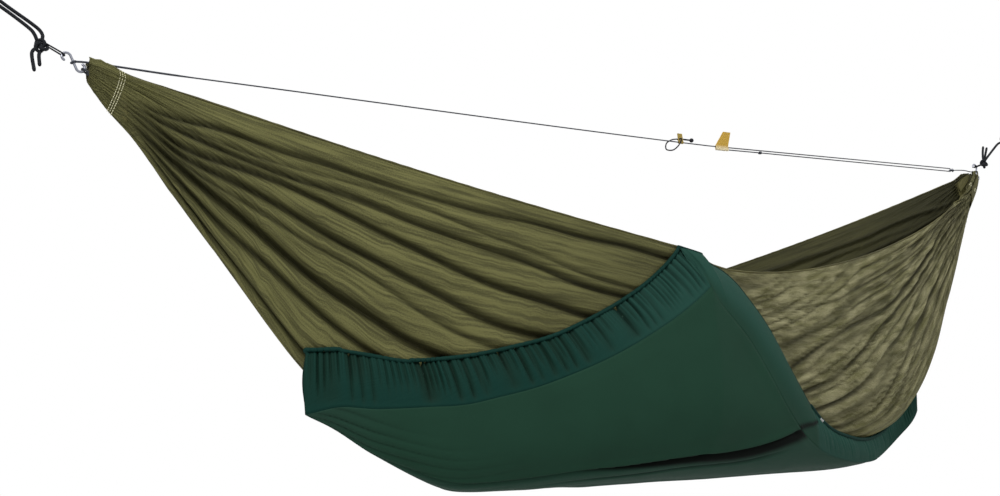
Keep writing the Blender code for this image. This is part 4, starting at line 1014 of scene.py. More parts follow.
def round_bar(bar: Array, away: Array, bend: float) -> Array:
    """The half turn of a cord round a bar.

    Args:
        bar: The bar's centre.
        away: The direction in which both legs leave it.
        bend: The turn's radius.

    Returns:
        The turn's points.
    """
    t = np.linspace(0.0, math.pi, 13)[:, None]
    return bar + ACROSS * bend * np.cos(t) - away * bend * np.sin(t)


def both_legs(leg: Array, turn: Array) -> Array:
    """A leg, the turn at its end and the same leg back on the other side."""
    return np.concatenate((leg, turn, (leg * (1.0, -1.0, 1.0))[::-1]))


@dataclass(frozen=True)
class Groove:
    """A deep fold that runs out from a gathered end."""

    line: SmoothLine
    depth: float
    width: float

    def cut(self, along: Array, place: Array) -> Array:
        """How deep the fold is.

        Args:
            along: Distances from its end of the hammock.
            place: Distances from the fold's middle, round the girth.

        Returns:
            The depths.
        """
        last = self.line.knots[-1][0]
        fade = ease(along, 0.03, 0.16) * (1 - ease(along, last - 0.25, last + 0.10))
        return self.depth * fade * np.exp(-((np.abs(place) / self.width) ** 1.35))


GROOVES = (
    Groove(SmoothLine((
        (0.02, 0.60), (0.078, 0.698), (0.214, 0.88), (0.376, 0.93), (0.638, 0.962),
        (0.988, 0.978), (1.45, 0.97),
    )), 0.014, 0.0065),
    Groove(SmoothLine((
        (0.02, 0.56), (0.08, 0.648), (0.178, 0.792), (0.296, 0.858), (0.426, 0.906),
        (0.582, 0.935), (0.802, 0.927), (1.066, 0.884), (1.40, 0.85),
    )), 0.009, 0.0050),
    Groove(SmoothLine((
        (0.02, 0.53), (0.068, 0.618), (0.176, 0.762), (0.296, 0.828), (0.476, 0.885),
        (0.652, 0.896), (0.816, 0.896), (0.974, 0.868), (1.25, 0.83),
    )), 0.016, 0.0070),
    Groove(SmoothLine((
        (0.02, 0.46), (0.064, 0.548), (0.160, 0.646), (0.248, 0.75), (0.372, 0.825),
        (0.574, 0.836), (0.716, 0.822), (0.866, 0.802), (1.20, 0.75),
    )), 0.019, 0.0080),
    Groove(SmoothLine((
        (0.02, 0.36), (0.060, 0.452), (0.160, 0.58), (0.246, 0.68), (0.370, 0.74),
        (0.504, 0.752), (0.642, 0.742), (0.784, 0.71), (1.10, 0.66),
    )), 0.020, 0.0085),
    Groove(SmoothLine((
        (0.02, 0.32), (0.062, 0.414), (0.160, 0.526), (0.246, 0.612), (0.368, 0.674),
        (0.468, 0.70), (0.568, 0.69), (0.672, 0.656), (1.00, 0.60),
    )), 0.011, 0.0060),
    Groove(SmoothLine((
        (0.02, 0.20), (0.068, 0.296), (0.160, 0.468), (0.246, 0.536), (0.366, 0.572),
        (0.498, 0.584), (0.628, 0.564), (0.95, 0.52),
    )), 0.026, 0.0100),
    Groove(SmoothLine((
        (0.02, 0.14), (0.072, 0.204), (0.162, 0.324), (0.248, 0.384), (0.334, 0.45),
        (0.448, 0.466), (0.80, 0.43),
    )), 0.017, 0.0085),
    Groove(SmoothLine((
        (0.02, 0.03), (0.078, 0.054), (0.164, 0.13), (0.250, 0.16), (0.364, 0.172), (0.75, 0.16),
    )), 0.014, 0.0080),
)

SLACK_GROOVES = (
    Groove(SmoothLine((
        (0.03, 0.72), (0.156, 0.95), (0.455, 0.912), (0.635, 0.904), (0.795, 0.89),
        (1.136, 0.766), (1.38, 0.70),
    )), 0.010, 0.0060),
    Groove(SmoothLine((
        (0.03, 0.64), (0.151, 0.88), (0.405, 0.86), (0.631, 0.82), (0.901, 0.796),
        (1.092, 0.684), (1.32, 0.62),
    )), 0.013, 0.0065),
    Groove(SmoothLine((
        (0.03, 0.55), (0.155, 0.80), (0.494, 0.80), (0.722, 0.746), (0.972, 0.588), (1.25, 0.48),
    )), 0.014, 0.0070),
    Groove(SmoothLine((
        (0.03, 0.45), (0.155, 0.70), (0.426, 0.755), (0.647, 0.67), (0.846, 0.53), (1.15, 0.38),
    )), 0.013, 0.0070),
    Groove(SmoothLine((
        (0.03, 0.36), (0.155, 0.60), (0.409, 0.66), (0.604, 0.558), (0.764, 0.372), (1.05, 0.20),
    )), 0.012, 0.0070),
    Groove(SmoothLine((
        (0.03, 0.28), (0.156, 0.50), (0.385, 0.56), (0.552, 0.49), (0.659, 0.328), (0.95, 0.15),
    )), 0.011, 0.0065),
    Groove(SmoothLine((
        (0.05, 0.85), (0.298, 0.97), (0.562, 0.93), (0.690, 0.934), (0.855, 0.914), (1.25, 0.90),
    )), 0.008, 0.0050),
)


@dataclass
class HammockCloth:
    """The gathered cloth, its rolled rims, its gathered hems and their stitching."""

    rows: int = 165
    near_columns: int = 190
    far_columns: int = 96
    parting: float = -0.10  # the share where the closer columns end
    wall: float = 0.0011
    fold_count: int = 23
    fold_depth: SmoothLine = SmoothLine((
        (0.00, 0.0050), (0.06, 0.0070), (0.15, 0.0100), (0.30, 0.0110),
        (0.55, 0.0085), (0.85, 0.0064), (1.10, 0.0050), (1.35, 0.0036),
    ))
    grooves: tuple[Groove, ...] = GROOVES
    slack_grooves: tuple[Groove, ...] = SLACK_GROOVES
    ruffle_height: float = 0.013
    crumple_depth: float = 0.0050
    ray_depth: float = 0.0080
    layer_reach: float = 0.070
    layer_share: float = 0.93
    layer_step: float = 0.0015
    layer_wall: float = 0.0009
    layer_sizes: tuple[float, ...] = (0.72, 0.46, 0.22)  # of the gathered end, one for each layer
    hem_radius: float = 0.0019
    flat_width: float = 1.20
    flat_length: float = 3.25
    stitch_rows: tuple[float, ...] = (0.062, 0.067, 0.072)
    stitch_length: float = 0.0046
    stitch_radius: float = 0.0008

    @property
    def columns(self) -> int:
        """How many points a row has."""
        return self.near_columns + self.far_columns

    def grid(self) -> tuple[Array, Array]:
        """Distances and shares of the cloth's points, evenly spread round the girth."""
        t = np.linspace(0.0, 1.0, self.rows)
        u = HANG.span * (0.62 * t + 0.38 * (0.5 - 0.5 * np.cos(math.pi * t)))
        fine = 1 - (1 - np.cos(np.linspace(0.0, math.pi, 801)))
        arc = lengths_along(HULL.cloth(np.full_like(fine, 0.8), fine), 0)
        part = np.interp(-self.parting, -fine, arc)
        near = np.linspace(0.0, part, self.near_columns, endpoint=False)
        places = np.concatenate((near, np.linspace(part, arc[-1], self.far_columns)))
        return np.meshgrid(u, np.interp(places, arc, fine), indexing="ij")

    def slackness(self, u: Array, share: Array) -> Array:
        """How slack the cloth is.

        Args:
            u: Distances from the head end.
            share: Shares of the girth.

        Returns:
            0 where it is drawn tight, and 1 beside the loose part of a rim.
        """
        from_head = np.where(share >= 0, u, HANG.span - u)
        loose = ease(from_head, HULL.corner - 0.02, HULL.corner + 0.20)
        return loose * ease(np.abs(share), 0.02, 0.42)

    def pleats(self, u: Array, place: Array, count: int, seed: int, power: float) -> Array:
        """Folds that run from an end.

        Args:
            u: Distances from that end.
            place: Places round the girth, from 1 at the near rim to -1 at the far one.
            count: How many folds there are.
            seed: Which random shifts they have.
            power: How round their crests are.

        Returns:
            0 on the crests and 1 in the valleys.
        """
        wander = Unevenness(seed).at(place * 4.5 + 40, u * 1.6)
        wander += 0.45 * Unevenness(seed + 1).at(place * 11.0 + 60, u * 2.4)
        phase = (place + 1) / 2 * count + wander * (0.25 + 0.75 * ease(u, 0.0, 0.5))
        depth = 0.62 + 0.38 * Unevenness(seed + 2).at(np.round(phase) * 0.73 + 9, u * 2.2)
        return (1 - np.abs(np.sin(math.pi * phase)) ** power) * depth

    def grooved(self, u: Array, share: Array, arc: Array) -> tuple[Array, Array]:
        """The deep folds.

        Args:
            u: Distances from the head end.
            share: Shares of the girth.
            arc: Distances from the near rim round the girth.

        Returns:
            The depth at each point of the folds in the taut cloth, and of those in the slack cloth.
        """
        depth, slack_depth = np.zeros_like(u), np.zeros_like(u)
        wander = 0.004 * Unevenness(17).at(u * 9, share * 3 + 40)
        for along, back, sign in ((u, HANG.span - u, 1.0), (HANG.span - u, u, -1.0)):
            for groove in self.grooves:
                place = arc - self.middle(groove, along, sign, share, arc)
                depth = np.maximum(depth, groove.cut(along, place + wander))
            for groove in self.slack_grooves:
                place = arc - self.middle(groove, back, sign, share, arc)
                slack_depth = np.maximum(slack_depth, groove.cut(back, place + 2 * wander))
        return depth, slack_depth

    @staticmethod
    def middle(groove: Groove, along: Array, sign: float, share: Array, arc: Array) -> Array:
        """Where a deep fold's middle lies.

        Args:
            groove: The fold.
            along: Distances from the fold's end of the hammock.
            sign: 1 on the near side and -1 on the far side.
            share: Shares of the girth.
            arc: Distances from the near rim round the girth.

        Returns:
            The middle's distance from the near rim, for each row.
        """
        wanted = sign * groove.line.at(along[:, 0])
        rows = zip(wanted, share, arc)
        return np.array([[np.interp(-want, -row, place)] for want, row, place in rows])

    def rays(self, u: Array, share: Array) -> Array:
        """The long folds of the slack cloth, which fan out from its end between the deep ones.

        Args:
            u: Distances from the head end.
            share: Shares of the girth.

        Returns:
            0 on the cloth between them and 1 in their valleys.
        """
        back, side = np.where(share >= 0, HANG.span - u, u), np.abs(share)
        lines = [groove.line.at(back) for groove in self.slack_grooves[:-1]]
        fan = np.clip((lines[0] - side) / 0.08, None, 0.0)
        fan = fan + np.clip((lines[-1] - side) / 0.12, 0.0, None)
        for upper, lower in zip(lines, lines[1:]):
            fan += np.clip((upper - side) / (upper - lower), 0.0, 1.0)
        bend = Unevenness(73).at(fan * 2.7 + 40, back * 2.1)
        bend += 0.55 * Unevenness(74).at(fan * 6.6 + 60, back * 4.4)
        return np.clip(1 - np.abs(bend) * 1.9, 0.0, 1.0) ** 1.3

    def sunk(self, u: Array, share: Array, arc: Array) -> tuple[Array, Array]:
        """How far the folded cloth lies inside its hull.

        Args:
            u: Distances from the head end.
            share: Shares of the girth.
            arc: Distances from the near rim round the girth.

        Returns:
            The depth at each point, and the painted shade of its folds, from 0 to 1.
        """
        place = 1 - 2 * arc / arc[:, -1:]
        slack = self.slackness(u, share)
        taut_folds, slack_folds = self.grooved(u, share, arc)
        deep = np.maximum(taut_folds, slack_folds)
        depth, streak_shade = np.zeros_like(u), np.zeros_like(u)
        edge = np.minimum(arc, arc[:, -1:] - arc)
        rim = 1 - 0.85 * (1 - ease(edge, 0.0, 0.03)) * ease(np.minimum(u, HANG.span - u), 0.05, 0.4)
        for along, seed, taut in ((u, 11, share > 0), (HANG.span - u, 31, share < 0)):
            reach = 1 - ease(along, 0.75, 1.75)
            quiet = np.where(taut, 1 - 0.62 * ease(along, 0.08, 0.25), 1.0)
            folds = self.pleats(along, place, self.fold_count, seed, 0.62)
            fine = self.pleats(along, place, self.fold_count * 3, seed + 5, 0.8)
            fine_reach = (1 - 0.5 * ease(along, 0.15, 1.0)) * (1 - ease(along, 1.15, 1.6))
            depth += self.fold_depth.at(along) * (reach * folds * quiet + 0.34 * fine * fine_reach)
            # Painted shade along the valleys of the fine pleats, and over a darker stretch of the taut
            # cloth.
            streak_shade += 0.55 * np.clip(fine, 0.0, 1.0) ** 2.5 * fine_reach * (1 - slack)
            streak_shade += 0.34 * ease(along, 0.75, 1.15) * (1 - ease(along, 1.3, 1.5)) * taut
            depth += slack * reach * 0.0030 * self.pleats(along, place, 29, seed + 9, 0.5)
        crumple = Unevenness(71).at(u * 21, place * 13 + 50)
        crumple += 0.6 * Unevenness(72).at(u * 44, place * 31 + 90)
        sharp = np.clip(1 - np.abs(crumple) * 1.1, 0.0, 1.0)
        depth += slack * self.crumple_depth * sharp * (0.25 + 0.75 * ease(np.abs(share), 0.70, 0.95))
        rays = self.rays(u, share) * slack * ease(np.abs(share), 0.0, 0.15)
        depth += self.ray_depth * rays
        wave = Unevenness(81).at(u * 6, place * 4 + 70)
        depth = depth * rim + slack * 0.004 * (wave + 1)
        # Painted shade in the valleys of the deep folds, the fine pleats and the long folds of the slack
        # cloth.
        fold_shade = np.clip(taut_folds / 0.012, 0.0, 1.0) + 0.60 * np.clip(slack_folds / 0.010, 0.0, 1.0)
        fold_shade = fold_shade + streak_shade + 0.62 * rays
        return np.maximum(depth, 0.6 * depth + deep), fold_shade

    def surface(self) -> tuple[Array, dict[str, Array]]:
        """The folded cloth's outer face, and the numbers that its finish reads there."""
        u, share = self.grid()
        hull = HULL.cloth(u, share)
        arc = lengths_along(hull, 1)
        normals = HULL.outward(HULL.cloth, u, share)
        depth, deep = self.sunk(u, share, arc)
        points = hull - normals * depth[..., None]
        for along, side in ((u, share), (HANG.span - u, -share)):
            crimp = 0.75 + 0.25 * Unevenness(91).at(u * 150, share * 5 + 40)
            height = self.ruffle_height * self.ruffle(along)
            lift = height * ease(np.abs(side), 0.90, 0.99) * crimp
            points = points + UP * lift[..., None]
        # deep carries the painted shade of the folds' valleys; slack carries where the cloth hangs
        # loose.
        return points, {"slack": self.slackness(u, share), "deep": deep}

    def build(self) -> None:
        """Makes the cloth and what is sewn to it."""
        points, marks = self.surface()
        cloth = cloth_piece("cloth_body", points, OLIVE, marks, self.wall, width=self.flat_width)
        places = np.empty(len(cloth.data.vertices) * 3)
        cloth.data.vertices.foreach_get("co", places)
        away = np.linalg.norm(places.reshape(2, -1, 3) - points.reshape(-1, 3), axis=-1)
        from_head = points[..., 0] - HANG.head_end[0]
        # Painted shade on the inner face, deeper near the gathered ends.
        end_shade = 1 - ease(np.minimum(from_head, HANG.span - from_head), 0.12, 0.60)
        give_mark(cloth, "inside", (away > self.wall / 2) * (1 + 0.45 * end_shade.ravel()))
        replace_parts(cloth, "hammock_cloth")
        hems = [self.rim(points, name, column) for name, column in (("near_rim", 0), ("far_rim", -1))]
        ends = []
        for end in End:
            ends.append(self.gathers(end))
            self.stitches(points, end)
        hems + ends
        LOG.info("cloth: %d points", points.shape[0] * points.shape[1])

    @staticmethod
    def ruffle(along: Array) -> Array:
        """1 on the cloth that stands up beside the gathering cord and 0 further on."""
        return ease(along, -0.02, 0.012) * (1 - ease(along, 0.030, 0.075))

    def rim(self, points: Array, name: str, column: int) -> bpy.types.Object:
        """The rolled hem along a rim.

        Args:
            points: The cloth's outer face.
            name: The hem's name.
            column: The column of the cloth's points at that rim.

        Returns:
            The hem.
        """
        edge = points[3:-3, column]
        beside = points[3:-3, column + (1 if column == 0 else -1)]
        line = edge + unit(edge - beside) * self.hem_radius * 0.6
        ripple = 1 + 0.16 * np.sin(lengths_along(line, 0) * 520.0)
        hem = rod(f"{name}_roll", line, self.hem_radius * ripple, OLIVE_HEM, sides=10)
        # A little painted light on the hem, and a little light let through it.
        give_mark(hem, "slack", np.full(len(hem.data.vertices), 0.15))
        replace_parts(hem, f"{name}_hem")
        return hem

    def gathers(self, end: End) -> bpy.types.Object:
        """The folded hem that fills a gathered end.

        Args:
            end: Which end.

        Returns:
            Its layers, as one piece.
        """
        depth = np.linspace(0.0, self.layer_reach, 12)
        share = np.linspace(self.layer_share, -self.layer_share, 150)
        layers = []
        for number, keep in enumerate(self.layer_sizes):
            u, s = np.meshgrid(depth + self.layer_step * number, share, indexing="ij")
            u = HANG.span - u if end is End.FOOT else u
            ring = HULL.cloth(u, s)
            middle = (ring.min(axis=1, keepdims=True) + ring.max(axis=1, keepdims=True)) / 2
            along = HANG.span - u if end is End.FOOT else u
            folds = self.pleats(along, s, 16 - 4 * number, 50 + number, 0.6)
            size = np.repeat((keep + 0.14 * (1 - folds))[..., None], 3, axis=-1)
            size[..., 2] = np.where((ring - middle)[..., 2] > 0, 1.0, size[..., 2])
            ring = middle + (ring - middle) * size
            height = self.ruffle_height * self.ruffle(along)
            lift = height * ease(np.abs(s), 0.55, 0.90) * (0.6 + 0.4 * folds)
            ring += UP * lift[..., None]
            name = f"{end.value}_layer_{number}"
            layers.append(cloth_piece(name, ring, GATHERS, {"slack": u * 0}, self.layer_wall))
        piece = merged(f"{end.value}_gathers", layers)
        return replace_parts(piece, f"{end.value}_end_channel")

    def stitches(self, points: Array, end: End) -> None:
        """Rows of pale stitches across the gathered hem.

        Args:
            points: The cloth's outer face.
            end: Which end.
        """
        points = points[::-1] if end is End.FOOT else points
        along = lengths_along(points[:20], 0)
        vertices, faces = [], []
        for row in self.stitch_rows:
            line = np.stack(
                [
                    [np.interp(row, along[:, column], points[:20, column, axis]) for axis in range(3)]
                    for column in range(6, self.columns - 6)
                ]
            )
            middle = line.mean(axis=0)
            line = smooth_route(line + unit(line - middle) * self.stitch_radius * 2.2, 900)
            length = lengths_along(line, 0)
            starts = np.arange(0.001, length[-1] - self.stitch_length, self.stitch_length * 1.45)
            for start in starts:
                places = np.linspace(start, start + self.stitch_length, 4)
                dash = np.stack([np.interp(places, length, line[:, axis]) for axis in range(3)], axis=1)
                first, second = crosswise(dash, closed=False)
                widths = self.stitch_radius * np.array((0.45, 1.0, 1.0, 0.45))
                base = len(vertices) * 5
                turn = 2 * math.pi * np.arange(5) / 5
                for point, a, b, width in zip(dash, first, second, widths):
                    ring = a * np.cos(turn)[:, None] + b * np.sin(turn)[:, None]
                    vertices.append(point + ring * width)
                for i in range(3):
                    for k in range(5):
                        n = (k + 1) % 5
                        low, high = base + i * 5, base + i * 5 + 5
                        faces.append((low + k, low + n, high + n, high + k))
                faces.append(tuple(base + k for k in range(5))[::-1])
                faces.append(tuple(base + 15 + k for k in range(5)))
        added(f"{end.value}_stitching", np.array(vertices), faces, THREAD, Body.HAMMOCK)


Table = tuple[tuple[float, float], ...]


@dataclass
class UnderCover:
    """The insulated cover: its shell with gathered bands, its lining, filling, tubes and elastics."""

    top_edge: Table = (
        (0.348, 0.195), (0.466, 0.40), (0.594, 0.51), (0.796, 0.64),
        (0.930, 0.72), (1.100, 0.86), (1.236, 1.00),
    )
    lower_edge: Table = (
        (0.338, 0.05), (0.460, 0.29), (0.593, 0.455), (0.720, 0.55),
        (0.866, 0.63), (1.020, 0.73), (1.170, 0.85), (1.290, 0.955),
    )
    side_hem: Table = (
        (1.236, 1.00), (1.300, 0.998), (1.360, 0.99), (1.410, 0.955), (1.487, 0.845), (1.568, 0.665),
        (1.660, 0.465), (1.750, 0.315),
        (1.850, 0.20), (1.950, 0.08), (2.080, -0.04), (2.190, -0.13), (2.335, -0.195),
    )
    side_fold: Table = (
        (1.290, 0.955), (1.390, 0.86), (1.455, 0.74), (1.530, 0.57), (1.615, 0.40), (1.715, 0.25),
        (1.815, 0.14), (1.920, 0.04), (2.060, -0.02), (2.180, -0.05), (2.345, -0.05),
    )
    chine: SmoothLine = SmoothLine((
        (0.45, 0.03), (0.65, 0.105), (0.93, 0.215), (1.20, 0.285), (1.42, 0.355), (1.66, 0.50),
    ))
    notch_line: Table = ((0.265, 1.02), (0.340, 0.60), (0.380, 0.30), (0.386, 0.0), (0.392, 0.0))
    hem_drawn_in: float = 0.040
    fold_drawn_in: float = 0.070
    drawn_from: float = 2.00
    hem_height: float = 0.0045
    corner_reach: tuple[float, float] = (0.10, 0.125)
    corner_cut: float = 0.20
    cells_long: int = 200
    cells_short: int = 165
    band_long: int = 700
    band_short: int = 620
    band_rows: int = 18
    bound_share: float = 0.375  # of the side hem, from the rim corner to the foot band
    wall: float = 0.0012
    tube_radius: float = 0.0040
    elastic_radius: float = 0.0020
    binding_radius: float = 0.0020
    pleat_pitch: float = 0.0165
    pleat_depth: float = 0.0100
    groove_depth: float = 0.019
    lining_height: float = 0.0078
    lining_inset: float = 0.035
    lining_wall: float = 0.0010
    pad_height: float = 0.0096
    pad_insets: tuple[float, float] = (0.08, 0.09)  # of its low and its top side
    pad_count: int = 70
    pad_depth: float = 0.0045  # of its low side below the face
    pad_least: float = 0.002
    tail_length: float = 0.024

    @staticmethod
    def edge(table: Table, t: Array) -> Array:
        """Points along an edge.

        Args:
            table: The edge's (distance, share) points.
            t: Places along it from 0 to 1.

        Returns:
            The distances and shares there.
        """
        start, end = table[0][0], table[-1][0]
        u = start + (end - start) * t
        return np.stack((u, SmoothLine(table).at(u)), axis=-1)

    def patch(self, head_table: Table, side_table: Table, p: Array, q: Array) -> Array:
        """Points inside the four edges, as the frame's cover has them.

        Args:
            head_table: The head edge.
            side_table: The near edge.
            p: Places from the head edge to the foot edge.
            q: Places from the near edge to the far edge.

        Returns:
            The distances and shares there.
        """
        turn = np.array((-1.0, -1.0))
        shift = np.array((HANG.span, 0.0))
        near = self.edge(side_table, p)
        far = self.edge(side_table, 1 - p) * turn + shift
        start = self.edge(head_table, 1 - q)
        finish = self.edge(head_table, q) * turn + shift
        zero, one = np.zeros(1), np.ones(1)
        side_0, side_1 = self.edge(side_table, zero)[0], self.edge(side_table, one)[0]
        head_0, head_1 = self.edge(head_table, one)[0], self.edge(head_table, zero)[0]
        p, q = p[..., None], q[..., None]
        corners = (
            (1 - p) * (1 - q) * (side_0 + head_0) / 2
            + p * (1 - q) * (side_1 + head_1 * turn + shift) / 2
            + (1 - p) * q * (side_1 * turn + shift + head_1) / 2
            + p * q * (side_0 * turn + shift + head_0 * turn + shift) / 2
        )
        return (1 - q) * near + q * far + (1 - p) * start + p * finish - corners

    def rounded(self, p: Array, q: Array) -> tuple[Array, Array]:
        """Draws the two low corners in, as rounded ones.

        Args:
            p: Places from the head edge to the foot edge.
            q: Places from the near edge to the far edge.

        Returns:
            The places after that.
        """
        reach_p, reach_q = self.corner_reach
        a, b = np.clip(p / reach_p, 0, 1), np.clip((1 - q) / reach_q, 0, 1)
        head = self.corner_cut * ((1 - a) * (1 - b)) ** 1.5
        a, b = np.clip((1 - p) / reach_p, 0, 1), np.clip(q / reach_q, 0, 1)
        foot = self.corner_cut * ((1 - a) * (1 - b)) ** 1.5
        return p + reach_p * (head - foot), q - reach_q * (head - foot)

    def places(self, of_face: bool, p: Array, q: Array) -> tuple[Array, Array]:
        """Distances and shares of the hem's patch or the face's.

        Args:
            of_face: Whether the face's edges are meant.
            p: Places from the head edge to the foot edge.
            q: Places from the near edge to the far edge.

        Returns:
            The distances and the shares.
        """
        p, q = self.rounded(p, q)
        tables = (self.lower_edge, self.side_fold) if of_face else (self.top_edge, self.side_hem)
        uv = self.patch(*tables, p, q)
        drawn = self.fold_drawn_in if of_face else self.hem_drawn_in
        u = uv[..., 0] - drawn * ease(uv[..., 0], self.drawn_from, HANG.span - self.top_edge[0][0])
        return u, uv[..., 1]

    def relief(self, u: Array, share: Array, p: Array, q: Array) -> tuple[Array, dict[str, Array]]:
        """The face's groove and folds.

        Args:
            u: Distances from the head end.
            share: Shares of the girth.
            p: Places from the head edge to the foot edge.
            q: Places from the near edge to the far edge.

        Returns:
            How far the face stands out, and the numbers that its finish reads there.
        """
        girth = 0.55
        # crease is painted shade in the groove, in the second fold and in the low corner's folds; under
        # is a painted sheen on the cloth below the groove.
        out, crease = np.zeros_like(u), np.zeros_like(u)
        under = np.ones_like(u)
        for along, side, seed in ((u, share, 3), (HANG.span - u, -share, 4)):
            beyond = (side - self.chine.at(along)) * girth
            beyond = beyond + 0.004 * Unevenness(seed).at(along * 7 + 3, side * 0 + 2)
            run = ease(along, 0.42, 0.85) * (1 - ease(along, 1.60, 1.70))
            above, below = np.clip(beyond, 0, None), np.clip(-beyond, 0, None)
            lip = np.exp(-((above / 0.020) ** 2)) * 0.004
            cut = np.exp(-((below / 0.014) ** 2)) * ease(below, 0.0, 0.005) * self.groove_depth
            out += run * (lip - cut) * ease(side, -0.02, 0.05)
            wide = 0.010 + 0.050 * ease(along, 0.85, 1.40)
            line = (1 - ease(below, 0.35 * wide, wide)) * ease(-beyond, -0.003, 0.001)
            crease = np.maximum(crease, line * run * ease(side, -0.02, 0.05))
            second = np.exp(-(((below - 0.060) / 0.006) ** 2)) * ease(side, 0.0, 0.04)
            second = second * ease(along, 0.85, 1.1) * (1 - ease(along, 1.45, 1.60))
            out -= 0.0045 * second
            crease = np.maximum(crease, 0.55 * second)
            under *= 1 - ease(beyond, -0.030, 0.004) * ease(along, 0.35, 0.60)
            corner = (1 - ease(along, 0.40, 0.95)) * ease(along, 0.36, 0.45)
            sway = 2.0 * Unevenness(seed + 6).at(along * 5, side * 5 + 9)
            rays = np.sin(side * 46.0 - along * 34.0 + sway)
            low = corner * (1 - ease(np.abs(side), 0.20, 0.42))
            out += 0.0032 * low * (np.abs(rays) ** 0.7 - 1)
            crease = np.maximum(crease, 0.5 * low * (1 - np.abs(rays)) ** 4)
        border = np.minimum.reduce((p, 1 - p, q, 1 - q))
        soft = Unevenness(21).at(u * 5.5, share * 4 + 30) * 0.0028
        soft += Unevenness(22).at(u * 13, share * 8 + 30) * 0.0009
        return (out + soft) * ease(border, 0.0, 0.035), {"under": under, "crease": crease, "band": u * 0}

    def loop(self) -> tuple[Array, Array]:
        """Places round the cover's edge: the head edge, the far one, the foot one and the near one."""
        down = np.linspace(0.0, 1.0, self.band_short + 1)[:-1]
        long = np.linspace(0.0, 1.0, self.band_long + 1)[:-1]
        p = np.concatenate((down * 0, long, down * 0 + 1, 1 - long))
        q = np.concatenate((down, long * 0 + 1, 1 - down, long * 0))
        return p, q

    def drawn(self, p: Array, q: Array) -> Array:
        """Which part of the edge is gathered on elastic.

        Args:
            p: Places from the head edge to the foot edge.
            q: Places from the near edge to the far edge.

        Returns:
            1 where the bands are gathered close, less where they lie smoother, and 0 on the side hems.
        """
        drawn = np.ones_like(p)
        for side, along in ((q == 0, p), (q == 1, 1 - p)):
            gathered = ease(along, self.bound_share - 0.02, self.bound_share + 0.01)
            drawn = np.where(side, gathered * (0.30 + 0.70 * ease(along, 0.88, 1.0)), drawn)
        return drawn

    def edge_lines(self) -> tuple[Array, Array, Array]:
        """The hem's points round the cover, the hull's normals there and the face's border."""
        p, q = self.loop()
        u, share = self.places(False, p, q)
        normals = HULL.outward(HULL.cloth, u, share)
        hem = HULL.cloth(u, share) + normals * self.hem_height
        border = HULL.cover(*self.places(True, p, q))
        return hem, normals, border

    def pleated(self, hem: Array, drawn: Array, pitch: float, seed: int) -> Array:
        """The gathers of the bands round the edge.

        Args:
            hem: The hem's points round the cover.
            drawn: Which part is gathered.
            pitch: The distance between two gathers.
            seed: Which random shifts they have.

        Returns:
            0 in the valleys and 1 on the crests.
        """
        length = lengths_along(hem, 0)
        wander = Unevenness(seed).at(length * 14, length * 0 + 5)
        phase = length / pitch + wander * 1.6
        crest = np.abs(np.sin(math.pi * phase)) ** 0.6
        uneven = 0.7 + 0.3 * Unevenness(seed + 1).at(length * 38, length * 0 + 5)
        return 1 - (1 - crest) * drawn * uneven

    def face(self) -> bpy.types.Object:
        """The shell's outer face."""
        steps = np.linspace(0, 1, self.cells_long + 1), np.linspace(0, 1, self.cells_short + 1)
        p, q = np.meshgrid(*steps, indexing="ij")
        u, share = self.places(True, p, q)
        out, marks = self.relief(u, share, p, q)
        points = HULL.cover(u, share) + HULL.outward(HULL.cover, u, share) * out[..., None]
        return cloth_piece("cover_cloth", points, COVER, marks, self.wall)

    def notch(self, p: Array, q: Array, t: Array) -> Array:
        """The painted shade of the face's groove where it runs on over the band, up to the end of the
        side hem.

        Args:
            p: Places from the head edge to the foot edge.
            q: Places from the near edge to the far edge.
            t: Places from the hem to the face.

        Returns:
            1 in the groove and 0 beside it.
        """
        dark = np.zeros_like(t * p)
        for side, along in ((q == 0, p), (q == 1, 1 - p)):
            beyond = t - np.interp(along, *np.array(self.notch_line).T)
            groove = ease(beyond, -0.02, 0.01) * (1 - ease(beyond, 0.04, 0.09))
            groove = groove * ease(along, 0.255, 0.275) * (1 - ease(along, 0.388, 0.394))
            dark = np.maximum(dark, np.where(side, groove, 0.0))
        return dark

    def band(self) -> bpy.types.Object:
        """The shell's gathered band, from the hem out to the face."""
        p, q = self.loop()
        hem, normals, border = self.edge_lines()
        drawn = self.drawn(p, q)
        coarse = self.pleated(hem, drawn, self.pleat_pitch, 41)
        fine = self.pleated(hem, drawn, self.pleat_pitch * 0.45, 43)
        long = self.pleated(hem, drawn, self.pleat_pitch * 2.3, 47)
        around = unit(np.roll(border, -1, axis=0) - np.roll(border, 1, axis=0))
        outward = unit(np.cross(around, border - hem))
        outward *= np.sign((outward * normals).sum(-1))[:, None]
        height = np.linalg.norm(border - hem, axis=-1)
        depth = np.minimum(height * 0.12, self.pleat_depth)
        t = np.linspace(0.0, 1.0, self.band_rows)[:, None]
        reach = 0.55 + 0.45 * Unevenness(51).at(lengths_along(hem, 0) * 40, height * 0 + 3)
        sunk = 0.80 * (1 - coarse) * (1 - ease(t, 0.55 * reach, 0.70 + 0.30 * reach))
        sunk = sunk + 0.40 * (1 - fine) * (1 - ease(t, 0.15, 0.70))
        sunk = sunk + 0.95 * (1 - long) * (1 - ease(t, 0.80, 1.0))
        belly = 0.075 * height * np.sin(math.pi * t**0.85)
        relief = (belly - (sunk - 0.15) * depth) * (1 - t**6)
        strip = hem + (border - hem) * t[..., None] + outward * relief[..., None]
        strip = np.concatenate((strip, strip[:, :1]), axis=1)
        u, _ = self.places(False, p, q)
        from_corner = np.where(q < 0.5, np.abs(u - 1.30), np.abs(HANG.span - u - 1.30))
        near_rim = 0.7 * (1 - ease(from_corner, 0.05, 0.45))
        bound = 1 - ease(drawn, 0.0, 0.25)
        smooth = (1 - bound) * (1 - ease(drawn, 0.32, 0.9))
